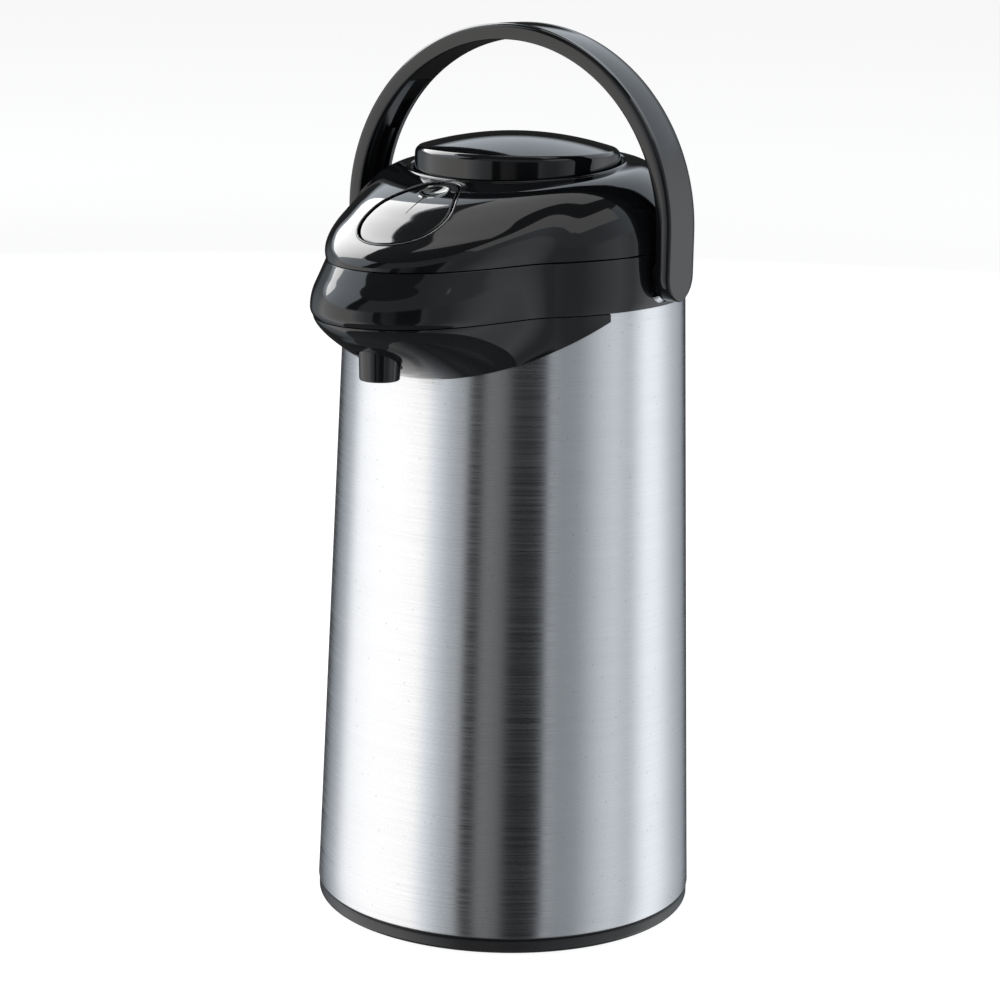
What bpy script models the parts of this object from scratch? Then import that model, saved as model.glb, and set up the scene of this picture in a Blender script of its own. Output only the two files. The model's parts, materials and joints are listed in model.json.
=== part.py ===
"""A push-button thermal airpot, modelled as its separate pieces, each in its place.

Metres, +Z up. Every piece is modelled about the body's axis, standing on z = 0, with the spout
along -Y. One empty then carries the whole pot, so that the origin is under the middle of its
bounding box. Angles round the axis are measured from the spout towards +X.
"""

import math

import bmesh
import bpy
from mathutils import Matrix, Vector

# ---------------------------------------------------------------- driving dimensions
GAP = 0.0003  # between pieces that touch
SLIDE_GAP = 0.0012  # round the push button

# Body: a slightly tapered steel shell on a plastic base ring
BODY_BOTTOM_RADIUS = 0.0850
BODY_TOP_RADIUS = BODY_BOTTOM_RADIUS - 0.0098
BODY_EDGE_HEIGHT = 0.2790  # where the collar's lower edge meets the steel
STEEL_WALL = 0.0006
RING_HEIGHT = 0.0066
RING_INSET = 0.0004
RING_CHAMFER = 0.0012
RING_FOOT_WIDTH = 0.0050
RING_SPIGOT_HEIGHT = 0.0160
COVER_RECESS = 0.0050  # base cover above the floor
COVER_THICKNESS = 0.0030
LEDGE_WIDTH = 0.0080
ADJUSTER_RADIUS = 0.0310
ADJUSTER_FLANGE = 0.0050
ADJUSTER_LIFT = 0.0022
ADJUSTER_TUBE_HEIGHT = 0.0180

# Vacuum liner
LINER_RADIUS = BODY_TOP_RADIUS - 0.0152  # inside
LINER_FLOOR = 0.0310  # height of the inside bottom
LINER_SHOULDER = BODY_EDGE_HEIGHT - 0.0450
LINER_TOP = BODY_EDGE_HEIGHT - 0.0070
MOUTH_RADIUS = 0.0285
GLASS = 0.0015
VACUUM_GAP = 0.0025
LINER_CORNER = 0.0220
PORT_RADIUS = 0.0025
CUSHION_HEIGHT = 0.0050
CUSHION_HOLE = 0.0140
NECK_GASKET_HEIGHT = 0.0024

# Head: collar, spout beak and lid share one egg-shaped plan
BEAK_HALF_ANGLE = math.radians(47)
CHIN_HALF_ANGLE = math.radians(66)
CHIN_DROP = 0.0295
CHIN_EDGE = 0.0009  # thickness of the beak's lower edge against the steel
COLLAR_OVERHANG = 0.0011
BEAK_REACH = BODY_TOP_RADIUS + 0.0463
BEAK_BULGE = 0.0020
SEAM_HEIGHT = BODY_EDGE_HEIGHT + 0.0230  # lid to collar, at the sides
SEAM_SIDE = BODY_TOP_RADIUS + 0.0005
SEAM_REACH = BEAK_REACH - 0.0090
SEAM_SLOPE = 0.036
LOWER_SEAM_SLOPE = 0.025
FALL_EASE = 0.030  # over which a fall sets in, either side of the middle
COLLAR_WALL = 0.0022
DECK_TOP = BODY_EDGE_HEIGHT + 0.0065
DECK_THICKNESS = 0.0020
CHIMNEY_RADIUS = 0.0345
CHIMNEY_WALL = 0.0035
CHIMNEY_TOP = BODY_EDGE_HEIGHT + 0.0210
SHELL_TUCK = 0.0042  # steel above the collar's lower edge

# Lid dome sections: shares of the way out from the button's rim to the seam, at the side and at the
# front, then the rise over the seam, the fall to the front and the fall to the rear
DOME = (
    (1.000, 1.000, 0.0000, SEAM_SLOPE, 0.0),
    (0.978, 0.989, 0.0068, 0.084, -0.0215),
    (0.911, 0.955, 0.0136, 0.130, -0.0360),
    (0.808, 0.883, 0.0198, 0.170, -0.0390),
    (0.661, 0.750, 0.0250, 0.192, -0.0260),
    (0.483, 0.585, 0.0289, 0.183, 0.0020),
    (0.269, 0.374, 0.0314, 0.147, 0.0420),
    (0.000, 0.000, 0.0322, 0.085, 0.0850),
)
DOME_TOP_HALF_ANGLE = math.radians(66)  # the beak's half angle widens to this at the button's rim
LID_WALL = 0.0022
SLEEVE_FOOT = SEAM_HEIGHT + 0.0140
SLEEVE_WALL = 0.0016
LID_PLATE_THICKNESS = 0.0023
LID_GASKET_HEIGHT = 0.0017
LID_SCREW_ANGLES = tuple(math.radians(a) for a in (52, 128, 232, 308))

# Push button and its pump
BUTTON_RADIUS = 0.0450
RIM_RADIUS = BUTTON_RADIUS + 0.0036
LID_SCREW_CIRCLE = BUTTON_RADIUS + 0.0120
BUTTON_TOP = SEAM_HEIGHT + 0.0460
BUTTON_CROWN = 0.0065
BUTTON_WALL = 0.0022
BUTTON_TRAVEL = 0.0180
BUTTON_STOP_GAP = 0.0034  # left under the skirt with the button down
PLATE_RADIUS = BUTTON_RADIUS - 0.0030
PLATE_THICKNESS = 0.0020
BELLOWS_RADIUS = BUTTON_RADIUS - 0.0110
BELLOWS_DEPTH = 0.0070
BELLOWS_WALL = 0.0012
BELLOWS_FOLDS = 5
BUTTON_SPRING_RADIUS = 0.0120
BUTTON_SPRING_WIRE = 0.0008
BUTTON_SPRING_TURNS = 5
PLATE_SCREW_CIRCLE = BUTTON_RADIUS - 0.0065

# Delivery path
TUBE_RADIUS = 0.0050
TUBE_WALL = 0.0012
TUBE_HEIGHT = DECK_TOP + TUBE_RADIUS + 0.0017
TUBE_BEND = 0.0090
TUBE_SEAL_WALL = 0.0010
DIP_RADIUS = TUBE_RADIUS - 0.0008
DIP_WALL = 0.0010
DIP_FLOOR_GAP = 0.0040
CAGE_RADIUS = TUBE_RADIUS + 0.0030
CAGE_BASE = LINER_TOP - 0.0060
BALL_RADIUS = TUBE_RADIUS - 0.0012
BALL_SEAT_RADIUS = BALL_RADIUS - 0.0006
BALL_TRAVEL = 0.0020
SPOUT_REACH = BEAK_REACH - 0.0225
SPOUT_FOOT = BODY_EDGE_HEIGHT - 0.0275
SPOUT_RADIUS = TUBE_RADIUS + 0.0035
SPOUT_TOP_RADIUS = SPOUT_RADIUS + 0.00075
SPOUT_BORE = TUBE_RADIUS - 0.0008

# Release lever in the lid's front
LEVER_REAR = BUTTON_RADIUS + 0.0072
LEVER_FRONT = SEAM_REACH - 0.0115
LEVER_REAR_WIDTH = 0.0214
LEVER_FRONT_WIDTH = 0.0380
LEVER_SLOT_GAP = 0.0010
LEVER_PIVOT_REACH = SEAM_REACH - 0.0345
LEVER_PIVOT_DROP = 0.0060
LEVER_PIN_RADIUS = 0.00125
HOOK_OFFSET = 0.0095
HOOK_WIDTH = 0.0040
HOOK_REACH = SEAM_REACH - 0.0172
HOOK_FOOT = DECK_TOP + 0.0050
CATCH_TOP = DECK_TOP + 0.0120

# Lid hinge at the rear
HINGE_REACH = SEAM_SIDE + 0.0055
HINGE_HEIGHT = SEAM_HEIGHT - 0.0010
KNUCKLE_RADIUS = 0.0040
KNUCKLE_HALF_WIDTH = 0.0090
HINGE_HALF_LENGTH = 0.0170
HINGE_PIN_RADIUS = 0.0015

# Carrying handle
HANDLE_OUTER = BODY_TOP_RADIUS + 0.0098
HANDLE_THICKNESS = 0.0070
HANDLE_WIDTH = 0.0220
HANDLE_ARCH_HEIGHT = SEAM_HEIGHT + 0.0080  # centre of the arch
PIVOT_HEIGHT = DECK_TOP + 0.0070
PIVOT_PIN_RADIUS = 0.0030
PIVOT_LUG_RADIUS = 0.0080
POCKET_GAP = 0.0013
POCKET_FLOOR = BODY_TOP_RADIUS - 0.0003

BEAK_SEGMENTS = 16
REAR_SEGMENTS = 24
ROUND_SEGMENTS = 32
SMALL_SEGMENTS = 16
SCREW_SEGMENTS = 12
COIL_STEPS = 8  # points for each turn of a spring

PARTS = bpy.data.collections.new("airpot")
CUTTERS = bpy.data.collections.new("airpot_cutters")


# ---------------------------------------------------------------- scene and materials
def clear_scene():
    for item in list(bpy.data.objects):
        bpy.data.objects.remove(item, do_unlink=True)
    bpy.context.scene.collection.children.link(PARTS)
    bpy.context.scene.collection.children.link(CUTTERS)


def material(name, color, roughness, metallic=0.0):
    made = bpy.data.materials.new(name)
    made.use_nodes = True
    shader = made.node_tree.nodes["Principled BSDF"]
    shader.inputs["Base Color"].default_value = (*color, 1.0)
    shader.inputs["Roughness"].default_value = roughness
    shader.inputs["Metallic"].default_value = metallic
    made.diffuse_color = (*color, 1.0)
    return made


FINISHES = {
    "steel": ((0.62, 0.63, 0.65), 0.28, 1.0),
    "pin_steel": ((0.70, 0.70, 0.72), 0.30, 1.0),
    "gloss_black": ((0.010, 0.010, 0.012), 0.08, 0.0),
    "base_black": ((0.020, 0.020, 0.022), 0.35, 0.0),
    "inner_plastic": ((0.70, 0.70, 0.68), 0.40, 0.0),
    "rubber": ((0.55, 0.55, 0.53), 0.60, 0.0),
    "silvered_glass": ((0.80, 0.82, 0.84), 0.05, 0.6),
    "tube_plastic": ((0.85, 0.85, 0.83), 0.30, 0.0),
}


# ---------------------------------------------------------------- shape helpers
def add_object(name, mesh, finish, collection=None):
    made = bpy.data.objects.new(name, mesh)
    (collection or PARTS).objects.link(made)
    if finish:
        mesh.materials.append(material(f"{name}_{finish}", *FINISHES[finish]))
    return made


def finish_mesh(bm, name):
    """Write the bmesh out, facing outwards and shaded smooth up to sharp corners."""
    bmesh.ops.recalc_face_normals(bm, faces=bm.faces)
    if bm.calc_volume(signed=True) < 0:
        bmesh.ops.reverse_faces(bm, faces=bm.faces)
    mesh = bpy.data.meshes.new(name)
    bm.to_mesh(mesh)
    bm.free()
    mesh.shade_smooth()
    mesh.set_sharp_from_angle(angle=math.radians(35))
    return mesh


def loft(name, rings, finish, closed=True, collection=None):
    """Skin rings of equal point counts. A closed loft joins its last ring to its first."""
    bm = bmesh.new()
    rows = [[bm.verts.new(p) for p in ring] for ring in rings]
    count = len(rings[0])
    pairs = list(zip(rows, rows[1:]))
    if closed:
        pairs.append((rows[-1], rows[0]))
    for low, high in pairs:
        for i in range(count):
            j = (i + 1) % count
            bm.faces.new((low[i], low[j], high[j], high[i]))
    if not closed:
        bm.faces.new(rows[0][::-1])
        bm.faces.new(rows[-1])
    return add_object(name, finish_mesh(bm, name), finish, collection)


def turned(name, profile, finish, location=(0, 0, 0), segments=ROUND_SEGMENTS, loop=True, collection=None):
    """Turn (radius, height) points round Z. A loop profile closes on itself, off the axis."""
    following = profile[1:] + profile[:1]
    area = sum(a[0] * b[1] - b[0] * a[1] for a, b in zip(profile, following))
    points = profile[::-1] if area > 0 else profile
    if not loop:
        while points[0][0] > 0 or points[-1][0] > 0:
            points = points[1:] + points[:1]
    edges = [(i, i + 1) for i in range(len(points) - 1)]
    if loop:
        edges.append((len(points) - 1, 0))
    mesh = bpy.data.meshes.new(name)
    mesh.from_pydata([(r, 0, z) for r, z in points], edges, [])
    made = add_object(name, mesh, finish, collection)
    made.location = location
    screw = made.modifiers.new("turn", "SCREW")
    screw.axis = "Z"
    screw.steps = segments
    screw.render_steps = segments
    screw.use_merge_vertices = True
    screw.merge_threshold = 0.00001
    screw.use_smooth_shade = True
    return made


def rod(name, radius, start, end, finish=None, segments=SMALL_SEGMENTS, collection=None):
    """A solid cylinder between two points."""
    span = Vector(end) - Vector(start)
    bm = bmesh.new()
    bmesh.ops.create_cone(
        bm, cap_ends=True, segments=segments, radius1=radius, radius2=radius, depth=span.length
    )
    turn = span.to_track_quat("Z", "Y").to_matrix().to_4x4()
    bmesh.ops.transform(bm, verts=bm.verts, matrix=turn)
    made = add_object(name, finish_mesh(bm, name), finish, collection)
    made.location = (Vector(start) + Vector(end)) / 2
    return made


def block(name, low, high, finish=None, collection=None):
    """A box between its lowest and highest corners."""
    low, high = Vector(low), Vector(high)
    bm = bmesh.new()
    bmesh.ops.create_cube(bm, size=1.0)
    bmesh.ops.transform(bm, verts=bm.verts, matrix=Matrix.Diagonal((*(high - low), 1.0)))
    made = add_object(name, finish_mesh(bm, name), finish, collection)
    made.location = (low + high) / 2
    return made


def combine(target, tool, operation):
    """Cut, join or intersect with a tool, which moves to the cutters."""
    if tool.name in PARTS.objects:
        PARTS.objects.unlink(tool)
        CUTTERS.objects.link(tool)
    tool.hide_render = True
    tool.display_type = "WIRE"
    step = target.modifiers.new(tool.name, "BOOLEAN")
    step.operation = operation
    step.solver = "EXACT"
    step.object = tool
    return target


def cut(target, tool):
    return combine(target, tool, "DIFFERENCE")


def join(target, tool):
    return combine(target, tool, "UNION")


def circle_points(centre, axis_x, axis_y, radius, count):
    turns = [2 * math.pi * i / count for i in range(count)]
    return [centre + radius * (axis_x * math.cos(turn) + axis_y * math.sin(turn)) for turn in turns]


def pipe(name, path, radius, wall, finish, sides=12):
    """A hollow pipe in the YZ plane: its outside rings, then its bore's rings back to the start."""
    outside, inside = [], []
    across = Vector((1, 0, 0))
    for i, point in enumerate(path):
        ahead = path[min(i + 1, len(path) - 1)] - path[max(i - 1, 0)]
        normal = ahead.normalized().cross(across)
        outside.append(circle_points(point, across, normal, radius, sides))
        inside.append(circle_points(point, across, normal, radius - wall, sides))
    return loft(name, outside + inside[::-1], finish)


def coil(name, radius, wire, low, high, turns, finish, location=(0, 0)):
    """A round-wire compression spring."""
    curve = bpy.data.curves.new(name, "CURVE")
    curve.dimensions = "3D"
    curve.bevel_depth = wire
    curve.bevel_resolution = 2
    curve.use_fill_caps = True
    spline = curve.splines.new("POLY")
    steps = turns * COIL_STEPS
    spline.points.add(steps)
    for i in range(steps + 1):
        turn = 2 * math.pi * i / COIL_STEPS
        height = low + wire + (high - low - 2 * wire) * i / steps
        x = location[0] + radius * math.cos(turn)
        y = location[1] + radius * math.sin(turn)
        spline.points[i].co = (x, y, height, 1.0)
    made = bpy.data.objects.new(name, curve)
    PARTS.objects.link(made)
    curve.materials.append(material(f"{name}_{finish}", *FINISHES[finish]))
    return made


def arc(centre, radius, start, end, steps):
    """(radius, height) points on an arc, angles in degrees from +r towards +z."""
    angles = (math.radians(start + (end - start) * i / steps) for i in range(steps + 1))
    return [(centre[0] + radius * math.cos(a), centre[1] + radius * math.sin(a)) for a in angles]


def offset_profile(points, distance):
    """Shift an open (radius, height) line to its right-hand side by a distance, with mitred corners."""
    moved = []
    for i, point in enumerate(points):
        before = Vector(point) - Vector(points[i - 1]) if i else None
        after = Vector(points[i + 1]) - Vector(point) if i < len(points) - 1 else None
        sides = [Vector((d.y, -d.x)).normalized() for d in (before, after) if d]
        normal = sum(sides, Vector((0, 0))).normalized()
        moved.append(tuple(Vector(point) + normal * distance / normal.dot(sides[0])))
    return moved


def place_on(axis_empty, *pieces):
    """Parent pieces to the empty on their joint's axis, leaving them where they are."""
    for piece in pieces:
        piece.parent = axis_empty
        piece.matrix_parent_inverse = Matrix.Translation(axis_empty.location).inverted()


def axis_empty(name, location):
    made = bpy.data.objects.new(name, None)
    made.location = location
    PARTS.objects.link(made)
    return made


# ---------------------------------------------------------------- the head's shared surfaces
def body_radius(height):
    """Outside radius of the steel shell."""
    share = (height - RING_HEIGHT) / (BODY_EDGE_HEIGHT - RING_HEIGHT)
    return BODY_BOTTOM_RADIUS + (BODY_TOP_RADIUS - BODY_BOTTOM_RADIUS) * share


def beak_share(angle, half_angle):
    """1 straight over the spout, easing to 0 where the beak runs into the round body."""
    angle = math.remainder(angle, 2 * math.pi)
    if abs(angle) >= half_angle:
        return 0.0
    return math.cos(angle / half_angle * math.pi / 2) ** 2


def plan_point(angle, side, reach, height, front_fall=0.0, rear_fall=0.0, half_angle=BEAK_HALF_ANGLE):
    """A point on an egg-shaped ring whose height falls towards the front, easing in at the middle."""
    radius = side + (reach - side) * beak_share(angle, half_angle)
    forward = radius * math.cos(angle)
    eased = math.hypot(forward, FALL_EASE) - FALL_EASE
    fall = (front_fall + rear_fall) / 2 * forward + (front_fall - rear_fall) / 2 * eased
    return Vector((radius * math.sin(angle), -forward, height - fall))


def head_angles():
    """Angles round the head, closer together over the beak."""
    front = [BEAK_HALF_ANGLE * (2 * i / BEAK_SEGMENTS - 1) for i in range(BEAK_SEGMENTS)]
    rest = 2 * (math.pi - BEAK_HALF_ANGLE)
    return front + [BEAK_HALF_ANGLE + rest * i / REAR_SEGMENTS for i in range(REAR_SEGMENTS)]


def egg_ring(side, reach, height, front_fall=0.0, rear_fall=0.0, half_angle=BEAK_HALF_ANGLE):
    return [plan_point(a, side, reach, height, front_fall, rear_fall, half_angle) for a in head_angles()]


def round_ring(radius, height):
    return egg_ring(radius, radius, height)


def dome_section(share):
    """The dome's section at a share of the way from the seam (0) to the button's rim (1)."""
    place = share * (len(DOME) - 1)
    i = min(int(place), len(DOME) - 2)
    t = place - i
    a, b, c, d = (DOME[max(0, min(len(DOME) - 1, k))] for k in (i - 1, i, i + 1, i + 2))
    side, reach, rise, front_fall, rear_fall = (
        0.5 * (2 * q + (r - p) * t + (2 * p - 5 * q + 4 * r - s) * t**2 + (3 * q - p - 3 * r + s) * t**3)
        for p, q, r, s in zip(a, b, c, d)
    )
    return (
        RIM_RADIUS + (SEAM_SIDE - RIM_RADIUS) * side, RIM_RADIUS + (SEAM_REACH - RIM_RADIUS) * reach,
        SEAM_HEIGHT + rise, front_fall, rear_fall,
        BEAK_HALF_ANGLE + (DOME_TOP_HALF_ANGLE - BEAK_HALF_ANGLE) * share,
    )


def dome_height(x, y):
    """Height of the dome's outside above a point inside the seam's outline."""
    angle = math.atan2(x, -y)
    low, high = 0.0, 1.0
    for _ in range(24):
        middle = (low + high) / 2
        point = plan_point(angle, *dome_section(middle))
        if math.hypot(point.x, point.y) > math.hypot(x, y):
            low = middle
        else:
            high = middle
    return plan_point(angle, *dome_section(low)).z


def roof_height(x, y, spread):
    """Highest level at which something of this half-width still ends inside the dome's wall."""
    around = [math.pi * i / 4 for i in range(8)]
    heights = [dome_height(x + spread * math.cos(a), y + spread * math.sin(a)) for a in around]
    return min(heights) - 0.8 * LID_WALL


def lower_edge_height(angle):
    """Height of the collar's lower edge."""
    side = BODY_TOP_RADIUS + COLLAR_OVERHANG
    return plan_point(angle, side, BEAK_REACH, BODY_EDGE_HEIGHT, LOWER_SEAM_SLOPE, 0.0).z


# ---------------------------------------------------------------- body and base
def ring_radius():
    return BODY_BOTTOM_RADIUS - RING_INSET


def cover_radius():
    return ring_radius() - RING_CHAMFER - RING_FOOT_WIDTH


def pot_shift():
    """How far the body's axis stands behind the middle of the pot, from beak to hinge."""
    return (BEAK_REACH + BEAK_BULGE - HINGE_REACH - KNUCKLE_RADIUS) / 2


def make_base():
    outer = ring_radius()
    foot = outer - RING_CHAMFER
    spigot = body_radius(RING_HEIGHT) - STEEL_WALL - GAP
    spigot_top = body_radius(RING_SPIGOT_HEIGHT) - STEEL_WALL - GAP
    cover = cover_radius()
    ledge_low = COVER_RECESS + COVER_THICKNESS + GAP
    base_ring = turned(
        "base_ring",
        [
            (cover, 0.0006), (cover + 0.0006, 0.0), (foot, 0.0), (outer, RING_CHAMFER),
            (outer, RING_HEIGHT), (spigot, RING_HEIGHT), (spigot_top, RING_SPIGOT_HEIGHT),
            (cover - LEDGE_WIDTH, RING_SPIGOT_HEIGHT), (cover - LEDGE_WIDTH, ledge_low), (cover, ledge_low),
        ],
        "base_black",
        segments=BEAK_SEGMENTS + REAR_SEGMENTS,
    )
    tube = ADJUSTER_RADIUS + GAP
    base_cover = turned(
        "base_cover",
        [
            (tube, COVER_RECESS), (tube, ADJUSTER_TUBE_HEIGHT), (tube + 0.0026, ADJUSTER_TUBE_HEIGHT),
            (tube + 0.0026, COVER_RECESS + COVER_THICKNESS),
            (cover - GAP, COVER_RECESS + COVER_THICKNESS), (cover - GAP, COVER_RECESS),
        ],
        "base_black",
        segments=BEAK_SEGMENTS + REAR_SEGMENTS,
    )
    cushion_low = LINER_FLOOR - 2 * GLASS - VACUUM_GAP - GAP - CUSHION_HEIGHT
    adjuster_top = cushion_low - GAP
    flange_top = COVER_RECESS - GAP
    grip = ADJUSTER_RADIUS - 0.0070
    turned(
        "liner_adjuster",
        [
            (0.0, adjuster_top - 0.0070), (grip, adjuster_top - 0.0070), (grip, adjuster_top),
            (ADJUSTER_RADIUS, adjuster_top), (ADJUSTER_RADIUS, flange_top),
            (ADJUSTER_RADIUS + ADJUSTER_FLANGE, flange_top),
            (ADJUSTER_RADIUS + ADJUSTER_FLANGE, ADJUSTER_LIFT), (grip, ADJUSTER_LIFT),
            (grip, adjuster_top - 0.0100), (0.0, adjuster_top - 0.0100),
        ],
        "base_black",
        loop=False,
    )
    turned(
        "liner_cushion",
        [
            (CUSHION_HOLE, cushion_low), (CUSHION_HOLE, cushion_low + CUSHION_HEIGHT),
            (ADJUSTER_RADIUS, cushion_low + CUSHION_HEIGHT), (ADJUSTER_RADIUS, cushion_low),
        ],
        "rubber",
    )
    screw_circle = cover - LEDGE_WIDTH / 2
    for i in range(3):
        angle = 2 * math.pi * i / 3 + math.pi / 6
        x, y = screw_circle * math.cos(angle), screw_circle * math.sin(angle)
        screw(f"base_screw_{i + 1}", (x, y, COVER_RECESS - GAP), 0.0029, 0.0020, 0.0013, 0.0090)
        hole = rod(f"base_screw_hole_{i + 1}", 0.0017, (x, y, 0.001), (x, y, RING_SPIGOT_HEIGHT - 0.0015))
        cut(base_cover, hole)
        cut(base_ring, hole)


def screw(name, seat, head_radius, head_height, shaft_radius, shaft_length):
    """A pan-head screw driven upwards, its head under the seat point."""
    profile = [
        (0.0, shaft_length), (shaft_radius * 0.5, shaft_length), (shaft_radius, shaft_length - 0.0008),
        (shaft_radius, 0.0), (head_radius, 0.0), (head_radius, -0.5 * head_height),
        (0.6 * head_radius, -head_height), (0.0, -head_height),
    ]
    return turned(name, profile, "pin_steel", location=seat, segments=SCREW_SEGMENTS, loop=False)


def make_shell():
    low = RING_HEIGHT + GAP
    high = BODY_EDGE_HEIGHT + SHELL_TUCK
    return turned(
        "outer_shell",
        [
            (body_radius(low), low), (body_radius(high), high),
            (body_radius(high) - STEEL_WALL, high), (body_radius(low) - STEEL_WALL, low),
        ],
        "steel",
        segments=BEAK_SEGMENTS + REAR_SEGMENTS,
    )


def make_liner():
    corner = LINER_CORNER
    inside = [(0.0, LINER_FLOOR)]
    inside += arc((LINER_RADIUS - corner, LINER_FLOOR + corner), corner, -90, 0, 3)
    inside += arc((LINER_RADIUS - corner, LINER_SHOULDER), corner, 0, 62, 2)
    inside += [(MOUTH_RADIUS, LINER_TOP - 0.0090), (MOUTH_RADIUS, LINER_TOP)]
    vessel = offset_profile(inside, GLASS)
    jacket_in = offset_profile(inside, GLASS + VACUUM_GAP)
    jacket_out = offset_profile(inside, 2 * GLASS + VACUUM_GAP)
    jacket_in[0] = (PORT_RADIUS, jacket_in[0][1])
    jacket_out[0] = (PORT_RADIUS, jacket_out[0][1])
    vessel[-1] = (vessel[-1][0], LINER_TOP - 0.0020)
    jacket_in[-1] = (jacket_in[-1][0], LINER_TOP - 0.0020)
    profile = inside + jacket_out[::-1] + jacket_in + vessel[::-1]
    turned("glass_liner", profile, "silvered_glass", segments=24, loop=False)
    bottom = LINER_FLOOR - 2 * GLASS - VACUUM_GAP
    stem = PORT_RADIUS - GAP
    turned(
        "liner_seal_tip",
        [
            (0.0, bottom + GLASS), (stem, bottom + GLASS), (stem, bottom - GAP),
            (stem + 0.0012, bottom - GAP), (stem, bottom - 0.0030), (0.0, bottom - 0.0055),
        ],
        "silvered_glass",
        segments=SMALL_SEGMENTS,
        loop=False,
    )
    neck = MOUTH_RADIUS + 2 * GLASS + VACUUM_GAP
    top = LINER_TOP + GAP
    turned(
        "neck_gasket",
        [
            (MOUTH_RADIUS - 0.0010, top), (MOUTH_RADIUS - 0.0010, top + NECK_GASKET_HEIGHT),
            (neck + 0.0024, top + NECK_GASKET_HEIGHT), (neck + 0.0024, LINER_TOP - 0.0040),
            (neck + GAP, LINER_TOP - 0.0040), (neck + GAP, top),
        ],
        "rubber",
    )


# ---------------------------------------------------------------- collar and beak
def make_collar():
    side = BODY_TOP_RADIUS + COLLAR_OVERHANG
    seam = SEAM_HEIGHT - GAP / 2
    deck_low = DECK_TOP - DECK_THICKNESS
    funnel_low = LINER_TOP + NECK_GASKET_HEIGHT + 2 * GAP
    slot_side = body_radius(BODY_EDGE_HEIGHT) + 2 * GAP
    rib_out = body_radius(BODY_EDGE_HEIGHT + SHELL_TUCK) - STEEL_WALL - GAP
    rings = [
        egg_ring(side, BEAK_REACH, BODY_EDGE_HEIGHT, LOWER_SEAM_SLOPE),
        egg_ring(side + 0.0004, BEAK_REACH + BEAK_BULGE, BODY_EDGE_HEIGHT + 0.0035, LOWER_SEAM_SLOPE),
        egg_ring(side + 0.0003, BEAK_REACH + 0.0005, BODY_EDGE_HEIGHT + 0.0110, SEAM_SLOPE),
        egg_ring(SEAM_SIDE + 0.0003, SEAM_REACH + 0.0042, seam - 0.0050, SEAM_SLOPE),
        egg_ring(SEAM_SIDE, SEAM_REACH, seam, SEAM_SLOPE),
        egg_ring(SEAM_SIDE - COLLAR_WALL, SEAM_REACH - COLLAR_WALL, seam, SEAM_SLOPE),
        egg_ring(SEAM_SIDE - COLLAR_WALL, BEAK_REACH - 0.0055, DECK_TOP),
        round_ring(CHIMNEY_RADIUS + CHIMNEY_WALL, DECK_TOP),
        round_ring(CHIMNEY_RADIUS + CHIMNEY_WALL, CHIMNEY_TOP),
        round_ring(CHIMNEY_RADIUS, CHIMNEY_TOP),
        round_ring(CHIMNEY_RADIUS - 0.0010, DECK_TOP),
        round_ring(MOUTH_RADIUS, funnel_low),
        round_ring(MOUTH_RADIUS + 0.0075, funnel_low),
        round_ring(CHIMNEY_RADIUS + CHIMNEY_WALL, deck_low),
        round_ring(rib_out - 0.0025, deck_low),
        round_ring(rib_out - 0.0022, deck_low - 0.0065),
        round_ring(rib_out, deck_low - 0.0065),
        round_ring(rib_out, deck_low),
        egg_ring(slot_side, BEAK_REACH - COLLAR_WALL, deck_low),
        egg_ring(slot_side, BEAK_REACH - COLLAR_WALL, BODY_EDGE_HEIGHT, LOWER_SEAM_SLOPE),
    ]
    collar = loft("collar", rings, "gloss_black")
    for name, sign in (("right", 1), ("left", -1)):
        boss_in = SEAM_SIDE - COLLAR_WALL - 0.0045
        join(collar, rod(
            f"pivot_boss_{name}", 0.0075, (sign * boss_in, 0, PIVOT_HEIGHT),
            (sign * (POCKET_FLOOR - 0.0002), 0, PIVOT_HEIGHT),
        ))
        cut(collar, handle_pocket(name, sign))
        cut(collar, rod(
            f"pivot_hole_{name}", PIVOT_PIN_RADIUS + GAP, (sign * 0.060, 0, PIVOT_HEIGHT),
            (sign * 0.080, 0, PIVOT_HEIGHT),
        ))
        post = HOOK_OFFSET * sign
        half = HOOK_WIDTH / 2
        post_front = HOOK_REACH - 0.0045
        join(collar, block(
            f"catch_post_{name}", (post - half, -post_front, deck_low + 0.0005),
            (post + half, -post_front + 0.0025, CATCH_TOP),
        ))
        join(collar, block(
            f"catch_lip_{name}", (post - half, -post_front - 0.0020, CATCH_TOP - 0.0025),
            (post + half, -post_front + 0.0010, CATCH_TOP),
        ))
        knuckle_in = sign * (KNUCKLE_HALF_WIDTH + 0.0005)
        knuckle_out = sign * HINGE_HALF_LENGTH
        join(collar, rod(
            f"collar_knuckle_{name}", KNUCKLE_RADIUS, (knuckle_in, HINGE_REACH, HINGE_HEIGHT),
            (knuckle_out, HINGE_REACH, HINGE_HEIGHT),
        ))
        join(collar, block(
            f"collar_web_{name}",
            (min(knuckle_in, knuckle_out), SEAM_SIDE - 0.0020, HINGE_HEIGHT - 0.0075),
            (max(knuckle_in, knuckle_out), HINGE_REACH, HINGE_HEIGHT - 0.0006),
        ))
    cut(collar, rod(
        "hinge_hole", HINGE_PIN_RADIUS + GAP, (-0.03, HINGE_REACH, HINGE_HEIGHT),
        (0.03, HINGE_REACH, HINGE_HEIGHT),
    ))
    cut(collar, rod(
        "tube_wall_hole", TUBE_RADIUS + TUBE_SEAL_WALL + 2 * GAP, (0, -0.025, TUBE_HEIGHT),
        (0, -0.045, TUBE_HEIGHT),
    ))
    cut(collar, rod(
        "tube_floor_hole", TUBE_RADIUS + 4 * GAP, (0, -SPOUT_REACH, deck_low - 0.005),
        (0, -SPOUT_REACH, DECK_TOP + 0.005),
    ))


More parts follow.
